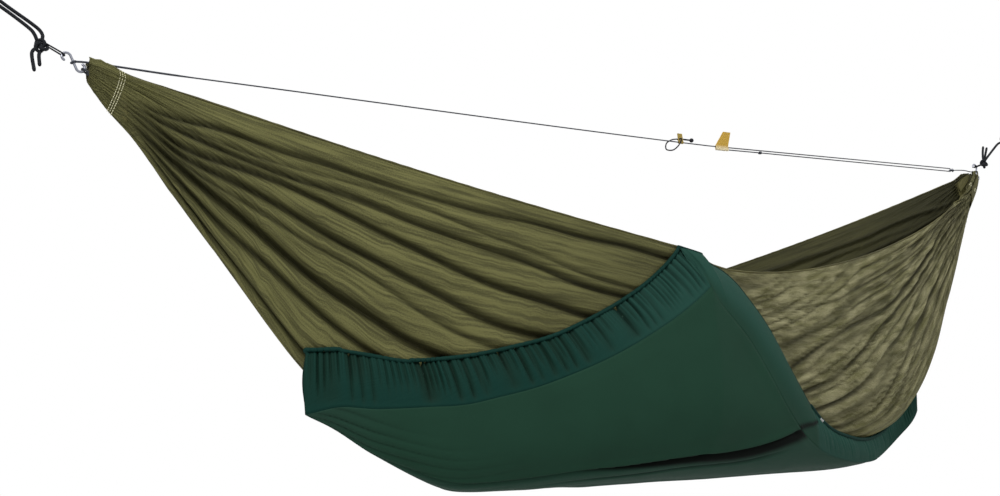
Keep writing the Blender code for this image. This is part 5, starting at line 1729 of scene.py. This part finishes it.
        # Painted sheen: pale beside the near rim's corner and where the band lies smoother.
        pale = near_rim * (1 - bound * ease(t, 0.45, 1.0)) + 0.75 * smooth * (1 - 0.5 * t)
        # crease is painted shade in the pleats' valleys and along the groove's notch.
        marks = {
            "band": (1 - 0.9 * np.clip(sunk, 0, 1)) * ease(drawn, 0.0, 0.3) * (1 - 0.6 * smooth),
            "under": np.clip(pale, 0.0, 1.0),
            "crease": np.maximum(0.60 * np.clip(sunk, 0, 1) * drawn, self.notch(p, q, t)),
        }
        marks = {name: np.concatenate((value, value[:, :1]), axis=1) for name, value in marks.items()}
        return cloth_piece("cover_band_cloth", strip, COVER_BAND, marks, self.wall, closed=True)

    def inner_grid(self, height: float, inset: float, count: int) -> Array:
        """Points of a layer inside the cover.

        Args:
            height: How far it lies outside the cloth's hull.
            inset: How far its border is drawn in, as a share of the cover.
            count: How many points it has each way.

        Returns:
            The grid of points.
        """
        steps = np.linspace(inset, 1 - inset, count)
        p, q = np.meshgrid(steps, steps, indexing="ij")
        u, share = self.places(False, p, q)
        return HULL.cloth(u, share) + HULL.outward(HULL.cloth, u, share) * height

    def layers(self) -> None:
        """Makes the lining, and the filling between it and the shell."""
        grid = self.inner_grid(self.lining_height, self.lining_inset, 90)
        lining = cloth_piece("cover_inner_cloth", grid, LINING, {}, self.lining_wall)
        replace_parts(lining, "cover_lining")
        count = self.pad_count
        low_inset, top_inset = self.pad_insets
        top = self.inner_grid(self.pad_height, top_inset, count)
        steps = np.linspace(low_inset, 1 - low_inset, count)
        p, q = np.meshgrid(steps, steps, indexing="ij")
        u, share = self.places(True, p, q)
        out, _ = self.relief(u, share, p, q)
        normals = HULL.outward(HULL.cover, u, share)
        low = HULL.cover(u, share) + normals * (out - self.pad_depth)[..., None]
        gap = np.maximum(((low - top) * normals).sum(-1), self.pad_least)
        low = top + unit(low - top) * gap[..., None]
        number = np.arange(count * count).reshape(count, count)
        ring = np.concatenate((number[0, :-1], number[:-1, -1], number[-1, :0:-1], number[:0:-1, 0]))
        after = np.roll(ring, -1)
        half = count * count
        sides = np.stack((ring, after, after + half, ring + half), axis=1)
        skins = (quads_of(count, count), quads_of(count, count, True) + half, sides[:, ::-1])
        points = np.concatenate((low.reshape(-1, 3), top.reshape(-1, 3)))
        pad = added("cover_filling_pad", points, np.concatenate(skins), WADDING, Body.HAMMOCK)
        shape = bmesh.new()
        shape.from_mesh(pad.data)
        bmesh.ops.recalc_face_normals(shape, faces=shape.faces)
        shape.to_mesh(pad.data)
        shape.free()
        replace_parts(pad, "cover_filling")

    def edging(self) -> None:
        """Makes the draw tubes with their elastics, and the bound side hems."""
        hem, normals, _ = self.edge_lines()
        p, q = self.loop()
        count = len(hem)
        down, long = self.band_short, self.band_long
        bound = round(long * self.bound_share)
        inward = unit(np.roll(hem, -1, axis=0) - np.roll(hem, 1, axis=0))
        middle = hem.mean(axis=0)
        away = np.cross(inward, normals)
        away *= np.sign((away * (hem - middle)).sum(-1))[:, None]
        base = hem + away * 0.0012 + normals * 0.0002
        spans = {
            "head": np.arange(0, down + long - bound),
            "far": np.arange(down + long - bound, down + long),
            "foot": np.arange(down + long, 2 * down + 2 * long - bound),
            "near": np.arange(2 * down + 2 * long - bound, count),
        }
        gathers = self.pleated(hem, self.drawn(p, q), self.pleat_pitch, 41)
        for end in ("head", "foot"):
            span = spans[end]
            line = base[span] + normals[span] * (gathers[span, None] - 0.6) * 0.002
            radii = self.tube_radius * (0.86 + 0.26 * gathers[span])
            tube = rod(f"cover_{end}_gathered_hem", line, radii, COVER_HEM, sides=12)
            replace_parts(tube, f"cover_{end}_draw_tube")
            tail = unit(line[-1] - line[-4]) * self.tail_length * np.linspace(0.0, 1.0, 6)[1:, None]
            route = np.concatenate((line[2:], line[-1] + tail))
            elastic = rod(f"cover_{end}_shock_cord", route, self.elastic_radius, ELASTIC)
            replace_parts(elastic, f"cover_{end}_elastic")
        for side in ("near", "far"):
            span = spans[side][1:]
            name = f"cover_{side}_bound_hem"
            binding = rod(name, base[span], self.binding_radius, COVER_HEM, sides=10)
            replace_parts(binding, f"cover_{side}_binding")

    def build(self) -> None:
        """Makes the cover."""
        face, band = self.face(), self.band()
        for piece in (face, band):
            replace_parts(piece, "cover_shell")
        self.layers()
        self.edging()
        count = len(face.data.vertices) + len(band.data.vertices)
        LOG.info("cover: %d vertices in its face and band", count)


@dataclass
class Suspension:
    """The rings, ropes, knots, hooks and gathering cords at both ends."""

    rope_radius: float = 0.0035
    gather_cord_radius: float = 0.0020
    ring_bar_radius: float = 0.005
    ring_gap: float = 0.0008
    hold_gap: float = 0.0004
    bight_half_height: float = 0.0105
    hook_half_spread: float = 0.0165
    hook_curl_radius: float = 0.0085
    hook_bar_radius: float = 0.0026
    hook_sweep: float = math.radians(95.0)
    head_hook_lean: float = math.radians(142.0)
    foot_hook_lean: float = math.pi / 2
    gather_fall: float = math.radians(33.4)
    gather_reach: float = 0.050
    knot_radius: float = 0.0082
    knot_orbit: float = 0.0039
    knot_strand: float = 0.0034
    head_knot: tuple[float, float] = (0.0877, -0.0229)
    head_lobe: float = math.radians(106.0)
    foot_knot: tuple[float, float] = (0.0754, -0.0026)
    foot_lobe: float = math.radians(17.0)
    anchor_knot: tuple[float, float] = (0.2380, 0.0)

    @property
    def head_curl(self) -> Array:
        """The centre of the head hook's lower curl."""
        return HANG.place(-0.0131, 0.0, -0.0060)

    @property
    def head_hook(self) -> Array:
        """The middle of the head hook."""
        return self.head_curl + in_plane(self.head_hook_lean) * self.hook_half_spread

    @property
    def foot_hook(self) -> Array:
        """The middle of the foot hook."""
        return HANG.place(HANG.span + 0.0130, 0.0, 0.0080)

    def beside_pull(self, end: End, along: float, across: float = 0.0) -> Array:
        """A point on an end's line of pull or beside it.

        Args:
            end: Which end.
            along: Distance from the gathered end.
            across: Distance above the line.

        Returns:
            The point.
        """
        point = HANG.head_end + HANG.pull * along + in_plane(math.pi / 2 - HANG.angle) * across
        return HANG.half_turned(point) if end is End.FOOT else point

    def lap(self, centre: Array, lobe: float, degrees: float) -> Array:
        """The centre of a knot's outer strand.

        Args:
            centre: The knot's middle.
            lobe: The direction of its first lobe.
            degrees: The direction in which the strand is met.

        Returns:
            The point.
        """
        angle = math.radians(degrees)
        third = 2 * math.pi / 3
        phase = 1.5 * ((angle - lobe + third / 2) % third - third / 2)
        reach = self.knot_radius + self.knot_orbit * math.cos(phase)
        return centre + in_plane(angle) * reach + ACROSS * self.knot_orbit * math.sin(phase)

    def knot(self, name: str, centre: Array, lobe: float) -> bpy.types.Object:
        """An overhand knot drawn tight.

        Args:
            name: The knot's name.
            centre: Its middle.
            lobe: The direction of its first lobe.

        Returns:
            The knot.
        """
        t = 2 * math.pi * np.arange(72) / 72
        reach = self.knot_radius + self.knot_orbit * np.cos(3 * t)
        turn = lobe + 2 * t
        line = centre + np.stack(
            (reach * np.cos(turn), self.knot_orbit * np.sin(3 * t), reach * np.sin(turn)), axis=1
        )
        knot = rod(name, line, self.knot_strand, ROPE, closed=True)
        along = np.linspace(-1.0, 1.0, 9)[:, None]
        through = centre + in_plane(lobe) * along * self.knot_radius * 0.75
        through = through + ACROSS * self.knot_orbit * 0.4 * np.sin(along * 3.0)
        core = rod(f"{name}_core", through, self.knot_strand * 1.25, ROPE, rounded=True)
        return merged(name, [knot, core])

    def bight(self, end: End) -> Array:
        """The rope's turn round the ring's bar."""
        reach = self.ring_bar_radius + self.ring_gap + self.rope_radius
        t = np.linspace(0.0, math.pi, 17)[:, None]
        turn = (
            HANG.head_end
            + HANG.pull * HANG.ring_distance
            + in_plane(math.pi / 2 - HANG.angle) * self.bight_half_height * np.cos(t)
            + HANG.pull * reach * np.sin(t)
        )
        return HANG.half_turned(turn) if end is End.FOOT else turn

    def hook_line(self, middle: Array, lean: float) -> Array:
        """An S-hook's centreline.

        Args:
            middle: The hook's middle.
            lean: The direction of its long way.

        Returns:
            Its points.
        """
        out, side = in_plane(lean), in_plane(lean + math.pi / 2)
        tangent = math.asin(self.hook_curl_radius / self.hook_half_spread)
        t = np.linspace(self.hook_sweep, -math.pi / 2 - tangent, 30)[:, None]
        curl = out * self.hook_half_spread + (out * np.cos(t) + side * np.sin(t)) * self.hook_curl_radius
        return np.concatenate((middle + curl, middle - curl[::-1]))

    def hooks(self) -> None:
        """Makes the two S-hooks, their tips rounded."""
        places = (
            (End.HEAD, self.head_hook, self.head_hook_lean),
            (End.FOOT, self.foot_hook, self.foot_hook_lean),
        )
        for end, middle, lean in places:
            line = self.hook_line(middle, lean)
            name = f"{end.value}_s_hook"
            hook = rod(name, line, self.hook_bar_radius, HOOK_STEEL, sides=18, rounded=True)
            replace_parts(hook, f"{end.value}_hook")

    def rings(self) -> None:
        """Makes the anchor rings: a torus with the swelling of its weld at the outer side."""
        for end in End:
            centre = Vector() if end is End.HEAD else Vector(HANG.half_turned(np.zeros(3)))
            lean = HANG.angle if end is End.HEAD else -HANG.angle
            bpy.ops.object.select_all(action="DESELECT")
            bpy.ops.mesh.primitive_torus_add(
                major_radius=HANG.ring_radius,
                minor_radius=self.ring_bar_radius,
                major_segments=72,
                minor_segments=20,
                rotation=(0.0, lean, 0.0),
            )
            ring = bpy.context.active_object
            bpy.ops.object.transform_apply(location=False, rotation=True, scale=False)
            pull = Vector(HANG.pull) if end is End.HEAD else Vector(HANG.pull * (-1.0, 1.0, 1.0))
            for vertex in ring.data.vertices:
                at = vertex.co.normalized().dot(pull)
                swell = 1.0 + 0.10 * max(0.0, (at - 0.985) / 0.015)
                middle = self.on_ring(vertex.co, pull)
                vertex.co = middle + (vertex.co - middle) * swell
            ring.data.transform(Matrix.Translation(centre))
            ring.name = f"{end.value}_welded_ring"
            ring.data.name = ring.name
            ring.data.materials.clear()
            ring.data.materials.append(RING_STEEL.material())
            bpy.ops.object.shade_smooth()
            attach(ring, Body.ANCHORS.value)
            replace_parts(ring, f"{end.value}_anchor_ring")

    def on_ring(self, point: Vector, pull: Vector) -> Vector:
        """The point of a ring's centreline that is nearest to a point of its surface.

        Args:
            point: The point, from the ring's centre.
            pull: The direction of the pull, in the ring's plane.

        Returns:
            The nearest point of the centreline.
        """
        across = Vector(ACROSS)
        flat = pull * point.dot(pull) + across * point.dot(across)
        return flat.normalized() * HANG.ring_radius

    def eye(self, name: str, curl: Array, knot_end: Array, radius: float) -> bpy.types.Object:
        """The small loop from a knot round a hook's bar and back.

        Args:
            name: The loop's name.
            curl: The centre of the hook's curl.
            knot_end: Where it leaves the knot.
            radius: The loop's thickness.

        Returns:
            The loop.
        """
        away = unit(knot_end - curl)
        bar = curl + away * self.hook_curl_radius
        bend = self.hook_bar_radius + self.hold_gap + radius
        turn = round_bar(bar, away, bend)
        near = bar + away * 0.006 + ACROSS * bend
        end = knot_end + ACROSS * self.knot_orbit
        leg = smooth_route([end, near, turn[0]], 8)[:-1]
        return rod(name, both_legs(leg, turn), radius, ROPE)

    def tails(self, end: End, centre: Array, lobe: float, tails: Sequence) -> list[bpy.types.Object]:
        """The cut ends that stand out of a knot.

        Args:
            end: Which end.
            centre: The knot's middle.
            lobe: The direction of its first lobe.
            tails: For each tail, where it leaves the knot and its points from the middle.

        Returns:
            The tails.
        """
        pieces = []
        for number, (degrees, offsets) in enumerate(tails):
            points = [self.lap(centre, lobe, degrees)]
            points += [centre + np.array((x, 0.0, z)) for x, z in offsets]
            line = smooth_route(points, 16)
            radii = np.full(16, self.rope_radius)
            radii[-2:] *= (1.06, 0.92)
            pieces.append(rod(f"{end.value}_tail_{number}", line, radii, ROPE, rounded=True))
        return pieces

    def head_rope(self) -> None:
        """The doubled rope from the head ring to its knot."""
        knot = self.beside_pull(End.HEAD, *self.head_knot)

        def near_knot(x: float, y: float) -> Array:
            """A point beside the knot."""
            return self.beside_pull(End.HEAD, self.head_knot[0] + x, self.head_knot[1] + y)

        upper = [
            self.lap(knot, self.head_lobe, 86),
            near_knot(0.0090, 0.0195),
            near_knot(0.0200, 0.0258),
            self.beside_pull(End.HEAD, 0.130, 0.0046),
            self.beside_pull(End.HEAD, 0.187, 0.0046),
            self.beside_pull(End.HEAD, 0.240, 0.0085),
        ]
        lower = [
            self.beside_pull(End.HEAD, 0.240, -0.0085),
            self.beside_pull(End.HEAD, 0.187, -0.0046),
            self.beside_pull(End.HEAD, 0.130, -0.0060),
            near_knot(0.0240, 0.0130),
            self.lap(knot, self.head_lobe, 124),
        ]
        line = np.concatenate((smooth_route(upper, 30), self.bight(End.HEAD), smooth_route(lower, 28)))
        strands = rod("head_rope_strands", line, self.rope_radius, ROPE)
        tails = (
            (216, ((-0.0150, -0.0120), (-0.0170, -0.0220), (-0.0130, -0.0520))),
            (266, ((-0.0040, -0.0200), (-0.0030, -0.0400))),
        )
        eye = self.eye(
            "head_rope_eye",
            self.head_hook + in_plane(self.head_hook_lean) * self.hook_half_spread,
            knot + in_plane(math.radians(46)) * self.knot_radius,
            0.0016,
        )
        extras = [self.knot("head_rope_knot", knot, self.head_lobe), eye]
        extras += self.tails(End.HEAD, knot, self.head_lobe, tails)
        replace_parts(strands, "head_rope")

    def foot_rope(self) -> None:
        """The rope tied round the foot ring, with its knot at the hook."""
        knot = self.beside_pull(End.FOOT, *self.foot_knot)
        anchor = self.beside_pull(End.FOOT, *self.anchor_knot)
        points = [
            self.lap(knot, self.foot_lobe, 45),
            self.beside_pull(End.FOOT, 0.0996, 0.0028),
            self.beside_pull(End.FOOT, 0.160, 0.0060),
            self.beside_pull(End.FOOT, 0.200, 0.0066),
            anchor + in_plane(math.radians(214)) * (self.knot_radius + self.knot_orbit),
        ]
        line = smooth_route(points, 34)
        strand = rod("foot_rope_strand", line, self.rope_radius, ROPE)
        turns = (math.radians(34 + turn) for turn in (38, -38))
        ends = [anchor + in_plane(turn) * self.knot_radius * 1.3 for turn in turns]
        loop = np.concatenate((ends[:1], self.bight(End.FOOT), ends[1:]))
        tails = (
            (100, ((0.0020, 0.0200), (0.0080, 0.0400), (0.0160, 0.0580))),
            (66, ((0.0110, 0.0200), (0.0210, 0.0370), (0.0330, 0.0560))),
        )
        eye = self.eye(
            "foot_rope_eye",
            self.foot_hook + in_plane(self.foot_hook_lean) * self.hook_half_spread,
            knot + in_plane(math.radians(197)) * self.knot_radius,
            0.0026,
        )
        extras = [
            self.knot("foot_rope_knot", knot, self.foot_lobe),
            self.knot("foot_anchor_knot", anchor, math.radians(214)),
            rod("foot_rope_loop", smooth_route(list(loop), 44), self.rope_radius, ROPE),
            eye,
        ]
        extras += self.tails(End.FOOT, knot, self.foot_lobe, tails)
        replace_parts(strand, "foot_rope")

    def gather_cords(self) -> None:
        """The doubled cords that hold the folds together and hang in the hooks."""
        bend = self.hook_bar_radius + self.hold_gap + self.gather_cord_radius
        for end in End:
            curl = self.head_curl
            into = in_plane(-self.gather_fall)
            if end is End.FOOT:
                curl = self.foot_hook - in_plane(self.foot_hook_lean) * self.hook_half_spread
                into = in_plane(math.pi + self.gather_fall)
            bar = curl + into * self.hook_curl_radius
            side = bar + ACROSS * bend
            leg = np.array([side + into * self.gather_reach * s for s in (1.0, 0.5, 0.08)])
            line = both_legs(leg, round_bar(bar, into, bend))
            cord = rod(f"{end.value}_gather_loop", line, self.gather_cord_radius, CORD)
            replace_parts(cord, f"{end.value}_gather_cord")

    def build(self) -> None:
        """Makes both ends."""
        self.rings()
        self.hooks()
        self.head_rope()
        self.foot_rope()
        self.gather_cords()
        LOG.info("suspension: rings, hooks, ropes and gathering cords")


@dataclass
class RidgeLine:
    """The adjustable cord above the hammock, with its pull tab and its gear loop."""

    suspension: Suspension
    radius: float = 0.0015
    eye_radius: float = 0.0018
    swell: float = 1.4
    swell_end: float = 0.165
    swell_taper: float = 0.05
    sag: Table = (
        (0.000, 0.0072), (0.061, 0.0060), (0.1803, 0.0027), (0.440, -0.0005),
        (0.840, -0.0060), (1.200, -0.0100), (1.450, -0.0116), (1.600, -0.0118),
    )
    slope: float = 0.021
    link_at: float = 2.592
    link_radius: float = 0.006
    link_bar_radius: float = 0.0015
    link_height: float = 0.0042
    return_gap: float = 0.0066
    return_end: float = 1.640
    parallel_end: float = 1.810
    stop_at: float = 1.783
    stop_turns: int = 3
    stop_wire: float = 0.0011
    hold_gap: float = 0.0004
    gear_start: float = 1.494
    gear_cord_radius: float = 0.0017
    tape_wall: float = 0.0010
    tape_sunk: float = 0.6  # of the tape's wall
    eyelet_at: tuple[float, float] = (0.0050, 0.0062)  # from the tape's start and above its foot
    toggle_radius: float = 0.0057
    toggle_neck_radius: float = 0.0022
    loop_tilt: float = math.radians(213.0)
    loop_length: float = 0.060
    loop_half_width: float = 0.0115

    def run(self, u: float, below: float = 0.0) -> Array:
        """A point of the cord's straight run.

        Args:
            u: Distance from the head end.
            below: How far below the run it lies.

        Returns:
            The point.
        """
        start, height = self.sag[-1]
        return HANG.place(u, 0.0, height + self.slope * (u - start) - below)

    def eye_line(self, middle: Array, first: Array, second: Array, radius: float) -> Array:
        """A small closed eye.

        Args:
            middle: Its centre.
            first: One direction in its plane.
            second: The other.
            radius: Its radius.

        Returns:
            Its points.
        """
        t = (2 * math.pi * np.arange(28) / 28)[:, None]
        return middle + (first * np.cos(t) + second * np.sin(t)) * radius

    def main_cord(self) -> None:
        """The cord from the head hook to the foot link and back to the tab."""
        hold = self.suspension
        tangent = math.asin(hold.hook_curl_radius / hold.hook_half_spread)
        bar = in_plane(hold.head_hook_lean - tangent)
        reach = hold.hook_bar_radius + self.hold_gap + self.eye_radius
        towards = np.cross(bar, ACROSS)
        towards = towards * np.sign(towards[0])
        eye = rod(
            "ridge_head_eye",
            self.eye_line(hold.head_hook, ACROSS, towards, reach),
            self.eye_radius,
            CORD,
            closed=True,
        )
        chosen = [hold.head_hook + towards * reach] + [HANG.place(u, 0.0, z) for u, z in self.sag]
        first = smooth_route(chosen, 160)
        left_bar = self.link_at - self.link_radius
        start = self.sag[-1][0]
        straight = np.array([self.run(start + (left_bar - start) * k / 60) for k in range(1, 61)])
        half_height = straight[-1][2] - HANG.head_end[2] - self.link_height
        t = np.linspace(math.pi / 8, math.pi, 12)[:, None]
        turn_reach = self.link_bar_radius + self.hold_gap + self.radius
        turn = (
            HANG.place(left_bar, 0.0, self.link_height)
            + UP * half_height * np.cos(t)
            + TO_FOOT * turn_reach * np.sin(t)
        )
        k = np.linspace(0.0, 1.0, 50)[1:, None]
        back = turn[-1] * (1 - k) + self.run(self.parallel_end, self.return_gap) * k
        places = np.linspace(self.parallel_end, self.return_end, 12)[1:]
        last = np.array([self.run(u, self.return_gap) for u in places])
        line = np.concatenate((first, straight, turn, back, last))
        thin = ease(line[:, 0] - HANG.head_end[0], self.swell_end, self.swell_end + self.swell_taper)
        radii = self.radius * (self.swell + (1 - self.swell) * thin)
        cord = rod("ridge_line", line, radii, CORD, sides=12)
        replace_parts(cord, "ridge_cord")

    def leader(self) -> None:
        """The short cord from the link to the foot hook."""
        hold = self.suspension
        tangent = math.asin(hold.hook_curl_radius / hold.hook_half_spread)
        bar = in_plane(hold.foot_hook_lean - tangent)
        towards = np.cross(bar, ACROSS)
        towards = towards * -np.sign(towards[0])
        reach = hold.hook_bar_radius + self.hold_gap + self.eye_radius
        link_reach = self.link_bar_radius + self.hold_gap + self.eye_radius
        right_bar = HANG.place(self.link_at + self.link_radius, 0.0, self.link_height)
        line = smooth_route(
            [
                right_bar + TO_FOOT * link_reach,
                HANG.place(2.620, 0.0, 0.0062),
                HANG.place(2.655, 0.0, 0.0084),
                HANG.place(2.6885, 0.0, 0.0064),
                hold.foot_hook + towards * reach,
            ],
            40,
        )
        foot_eye = self.eye_line(hold.foot_hook, ACROSS, towards, reach)
        link_eye = self.eye_line(right_bar, TO_FOOT, UP, link_reach)
        pieces = [
            rod("leader", line, self.radius, CORD, sides=12),
            rod("leader_eye", foot_eye, self.eye_radius, CORD, closed=True),
            rod("link_eye", link_eye, self.eye_radius, CORD, closed=True),
        ]
        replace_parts(merged("ridge_foot_cord", pieces), "ridge_foot_leader")

    def stop_knot(self) -> None:
        """The coil on the returning cord that stops the pull tab."""
        radius = self.radius + self.hold_gap + self.stop_wire
        pitch = 2 * self.stop_wire + 0.0003
        along = unit(self.run(2.0) - self.run(1.7))
        up = np.cross(ACROSS, along)
        k = np.arange(24 * self.stop_turns + 1)[:, None]
        turn = 2 * math.pi * k / 24
        line = (
            self.run(self.stop_at, self.return_gap)
            + along * pitch * (k / 24 - self.stop_turns / 2)
            + (ACROSS * np.cos(turn) + up * np.sin(turn)) * radius
        )
        knot = rod("ridge_stop_coil", line, self.stop_wire, CORD, sides=8, rounded=True)
        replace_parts(knot, "ridge_stop_knot")

    def link(self) -> None:
        """The ring that joins the cord to its leader."""
        middle = HANG.place(self.link_at, 0.0, self.link_height)
        line = self.eye_line(middle, TO_FOOT, ACROSS, self.link_radius)
        ring = rod("ridge_link_ring", line, self.link_bar_radius, HOOK_STEEL, closed=True)
        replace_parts(ring, "ridge_link")

    def gear(self) -> None:
        """The cord loop in the gear tab's eyelet, and the toggle beside the tab."""
        foot = self.radius + self.hold_gap + self.tape_wall * self.tape_sunk
        height = float(SmoothLine(self.sag).at(self.gear_start))
        eyelet = HANG.place(self.gear_start + self.eyelet_at[0], 0.0, height + foot + self.eyelet_at[1])
        hang, wide = in_plane(self.loop_tilt), in_plane(self.loop_tilt + math.pi / 2)
        near = self.radius + self.tape_wall + self.gear_cord_radius + 3 * self.hold_gap
        offsets = (
            (0.000, 0.00, -near), (0.010, 0.30, -near - 0.001), (0.350, 0.95, -near),
            (0.750, 1.00, -near * 0.6), (1.000, 0.00, 0.0), (0.750, -1.00, near * 0.6),
            (0.350, -0.95, near), (0.010, -0.30, near + 0.001), (0.000, 0.00, near),
        )
        points = [
            eyelet + hang * self.loop_length * a + wide * self.loop_half_width * w + ACROSS * y
            for a, w, y in offsets
        ]
        loop = rod(
            "gear_hang_loop", smooth_route(points, 110, closed=True), self.gear_cord_radius, GEAR_CORD,
            Body.GEAR_LOOP, sides=12, closed=True,
        )
        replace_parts(loop, "gear_loop")
        low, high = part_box("gear_toggle")
        ball = np.array((high.x - self.toggle_radius, 0.0, (low.z + high.z) / 2))
        start = np.array((low.x, 0.0, ball[2]))
        route = smooth_route([start, (start + ball) / 2, ball], 14)
        neck = rod("toggle_neck", route, self.toggle_neck_radius, GEAR_CORD, Body.GEAR_TAB)
        turn = np.linspace(-math.pi / 2, math.pi / 2, 19)[1:-1]
        line = ball + TO_FOOT * (self.toggle_radius * np.sin(turn))[:, None]
        radii = self.toggle_radius * np.cos(turn)
        bead = rod("toggle_ball", line, radii, GEAR_CORD, Body.GEAR_TAB, sides=24)
        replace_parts(merged("gear_cord_toggle", [bead, neck]), "gear_toggle")

    def dress_frame_nodes(self) -> None:
        """Gives the frame's own solids their finishes."""
        low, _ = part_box("pull_tab")
        worn = (low.z + 0.004, low.z + 0.016)
        yellow = Webbing("yellow_tape", "tab_yellow", (0.60, 0.37, 0.045), edge=worn)
        tape = Webbing("brown_tape", "webbing", (0.40, 0.28, 0.05))
        beads = {f"cover_{end.value}_bead": BEAD for end in End}
        for name, finish in {"pull_tab": yellow, "gear_tab": tape, **beads}.items():
            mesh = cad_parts[name].data
            mesh.materials.clear()
            mesh.materials.append(finish.material())

    def build(self) -> None:
        """Makes the cord and what is on it."""
        self.main_cord()
        self.leader()
        self.stop_knot()
        self.link()
        self.gear()
        self.dress_frame_nodes()
        LOG.info("ridge cord: its tab, stop, link and gear loop")


@dataclass
class Studio:
    """The floor, the lights, the white surroundings and the camera."""

    camera_at: tuple[float, float, float] = (-0.293976, -2.2024, -1.216580)
    yaw: float = math.radians(33.254)
    pitch: float = math.radians(15.357)
    roll: float = math.radians(-6.773)
    lens: float = 43.272
    floor_height: float = -1.36
    floor_size: float = 60.0
    surround: float = 0.42

    def camera(self) -> None:
        """Stands the camera where the picture was taken from."""
        cos_pitch = math.cos(self.pitch)
        ahead = Vector(
            (math.sin(self.yaw) * cos_pitch, math.cos(self.yaw) * cos_pitch, math.sin(self.pitch))
        )
        level = Vector((math.cos(self.yaw), -math.sin(self.yaw), 0.0))
        above = level.cross(ahead)
        right = level * math.cos(self.roll) + above * math.sin(self.roll)
        up = above * math.cos(self.roll) - level * math.sin(self.roll)
        data = bpy.data.cameras.new("camera")
        data.sensor_width = 36.0
        data.lens = self.lens
        camera = bpy.data.objects.new("camera", data)
        bpy.context.scene.collection.objects.link(camera)
        placed = Matrix((right, up, -ahead)).transposed().to_4x4()
        placed.translation = self.camera_at
        camera.matrix_world = placed
        bpy.context.scene.camera = camera

    def lamp(self, name: str, at: Sequence[float], size: float, power: float) -> None:
        """A soft square lamp that faces the hammock.

        Args:
            name: Its name.
            at: Where it stands.
            size: Its side.
            power: Its power in watts.
        """
        data = bpy.data.lights.new(name, "AREA")
        data.shape = "SQUARE"
        data.size = size
        data.energy = power
        lamp = bpy.data.objects.new(name, data)
        bpy.context.scene.collection.objects.link(lamp)
        lamp.location = at
        aim = Vector((1.6, 0.0, -0.6)) - Vector(at)
        lamp.rotation_euler = aim.to_track_quat("-Z", "Y").to_euler()

    def surroundings(self) -> None:
        """A white world that lights softly and shows white to the camera and in reflections."""
        world = bpy.data.worlds.new("white")
        bpy.context.scene.world = world
        shader = Shader(world)
        rays = shader.node("ShaderNodeLightPath").outputs
        seen = rays["Is Camera Ray"]
        for kind in ("Is Glossy Ray", "Is Transmission Ray"):
            adding = {"operation": "ADD", "use_clamp": True}
            seen = shader.node("ShaderNodeMath", adding, {0: seen, 1: rays[kind]}).outputs[0]
        white = {"Color": (1.0, 1.0, 1.0)}
        light = shader.node("ShaderNodeBackground", {}, {**white, "Strength": self.surround}).outputs[0]
        shown = shader.node("ShaderNodeBackground", {}, white).outputs[0]
        mix = shader.node("ShaderNodeMixShader", {}, {0: seen, 1: light, 2: shown}).outputs[0]
        shader.node("ShaderNodeOutputWorld", {}, {"Surface": mix})

    def floor(self) -> None:
        """A plain pale floor under the hammock."""
        bpy.ops.object.select_all(action="DESELECT")
        bpy.ops.mesh.primitive_plane_add(size=self.floor_size, location=(1.6, 0.0, self.floor_height))
        floor = bpy.context.active_object
        floor.name = "floor"
        shader = Shader(bpy.data.materials.new("floor_paper"))
        shader.finish({"Base Color": (0.82, 0.82, 0.81), "Roughness": 0.9, "Specular IOR Level": 0.1})
        floor.data.materials.append(shader.holder)

    def build(self) -> None:
        """Sets up the studio."""
        scene = bpy.context.scene
        scene.view_settings.view_transform = "Standard"
        self.surroundings()
        self.floor()
        self.lamp("key", (-1.6, -3.2, 2.6), 1.8, 230.0)
        self.lamp("side", (4.8, -3.0, 1.2), 2.4, 60.0)
        self.lamp("top", (1.6, 1.4, 3.2), 2.6, 70.0)
        self.camera()
        LOG.info("studio: floor, three lamps and the camera")


def main() -> None:
    """Builds the hammock's pieces and the studio."""
    logging.basicConfig(level=logging.INFO, format="%(name)s: %(message)s")
    Studio().build()
    suspension = Suspension()
    suspension.build()
    RidgeLine(suspension).build()
    HammockCloth().build()
    UnderCover().build()


if __name__ == "__main__":
    main()
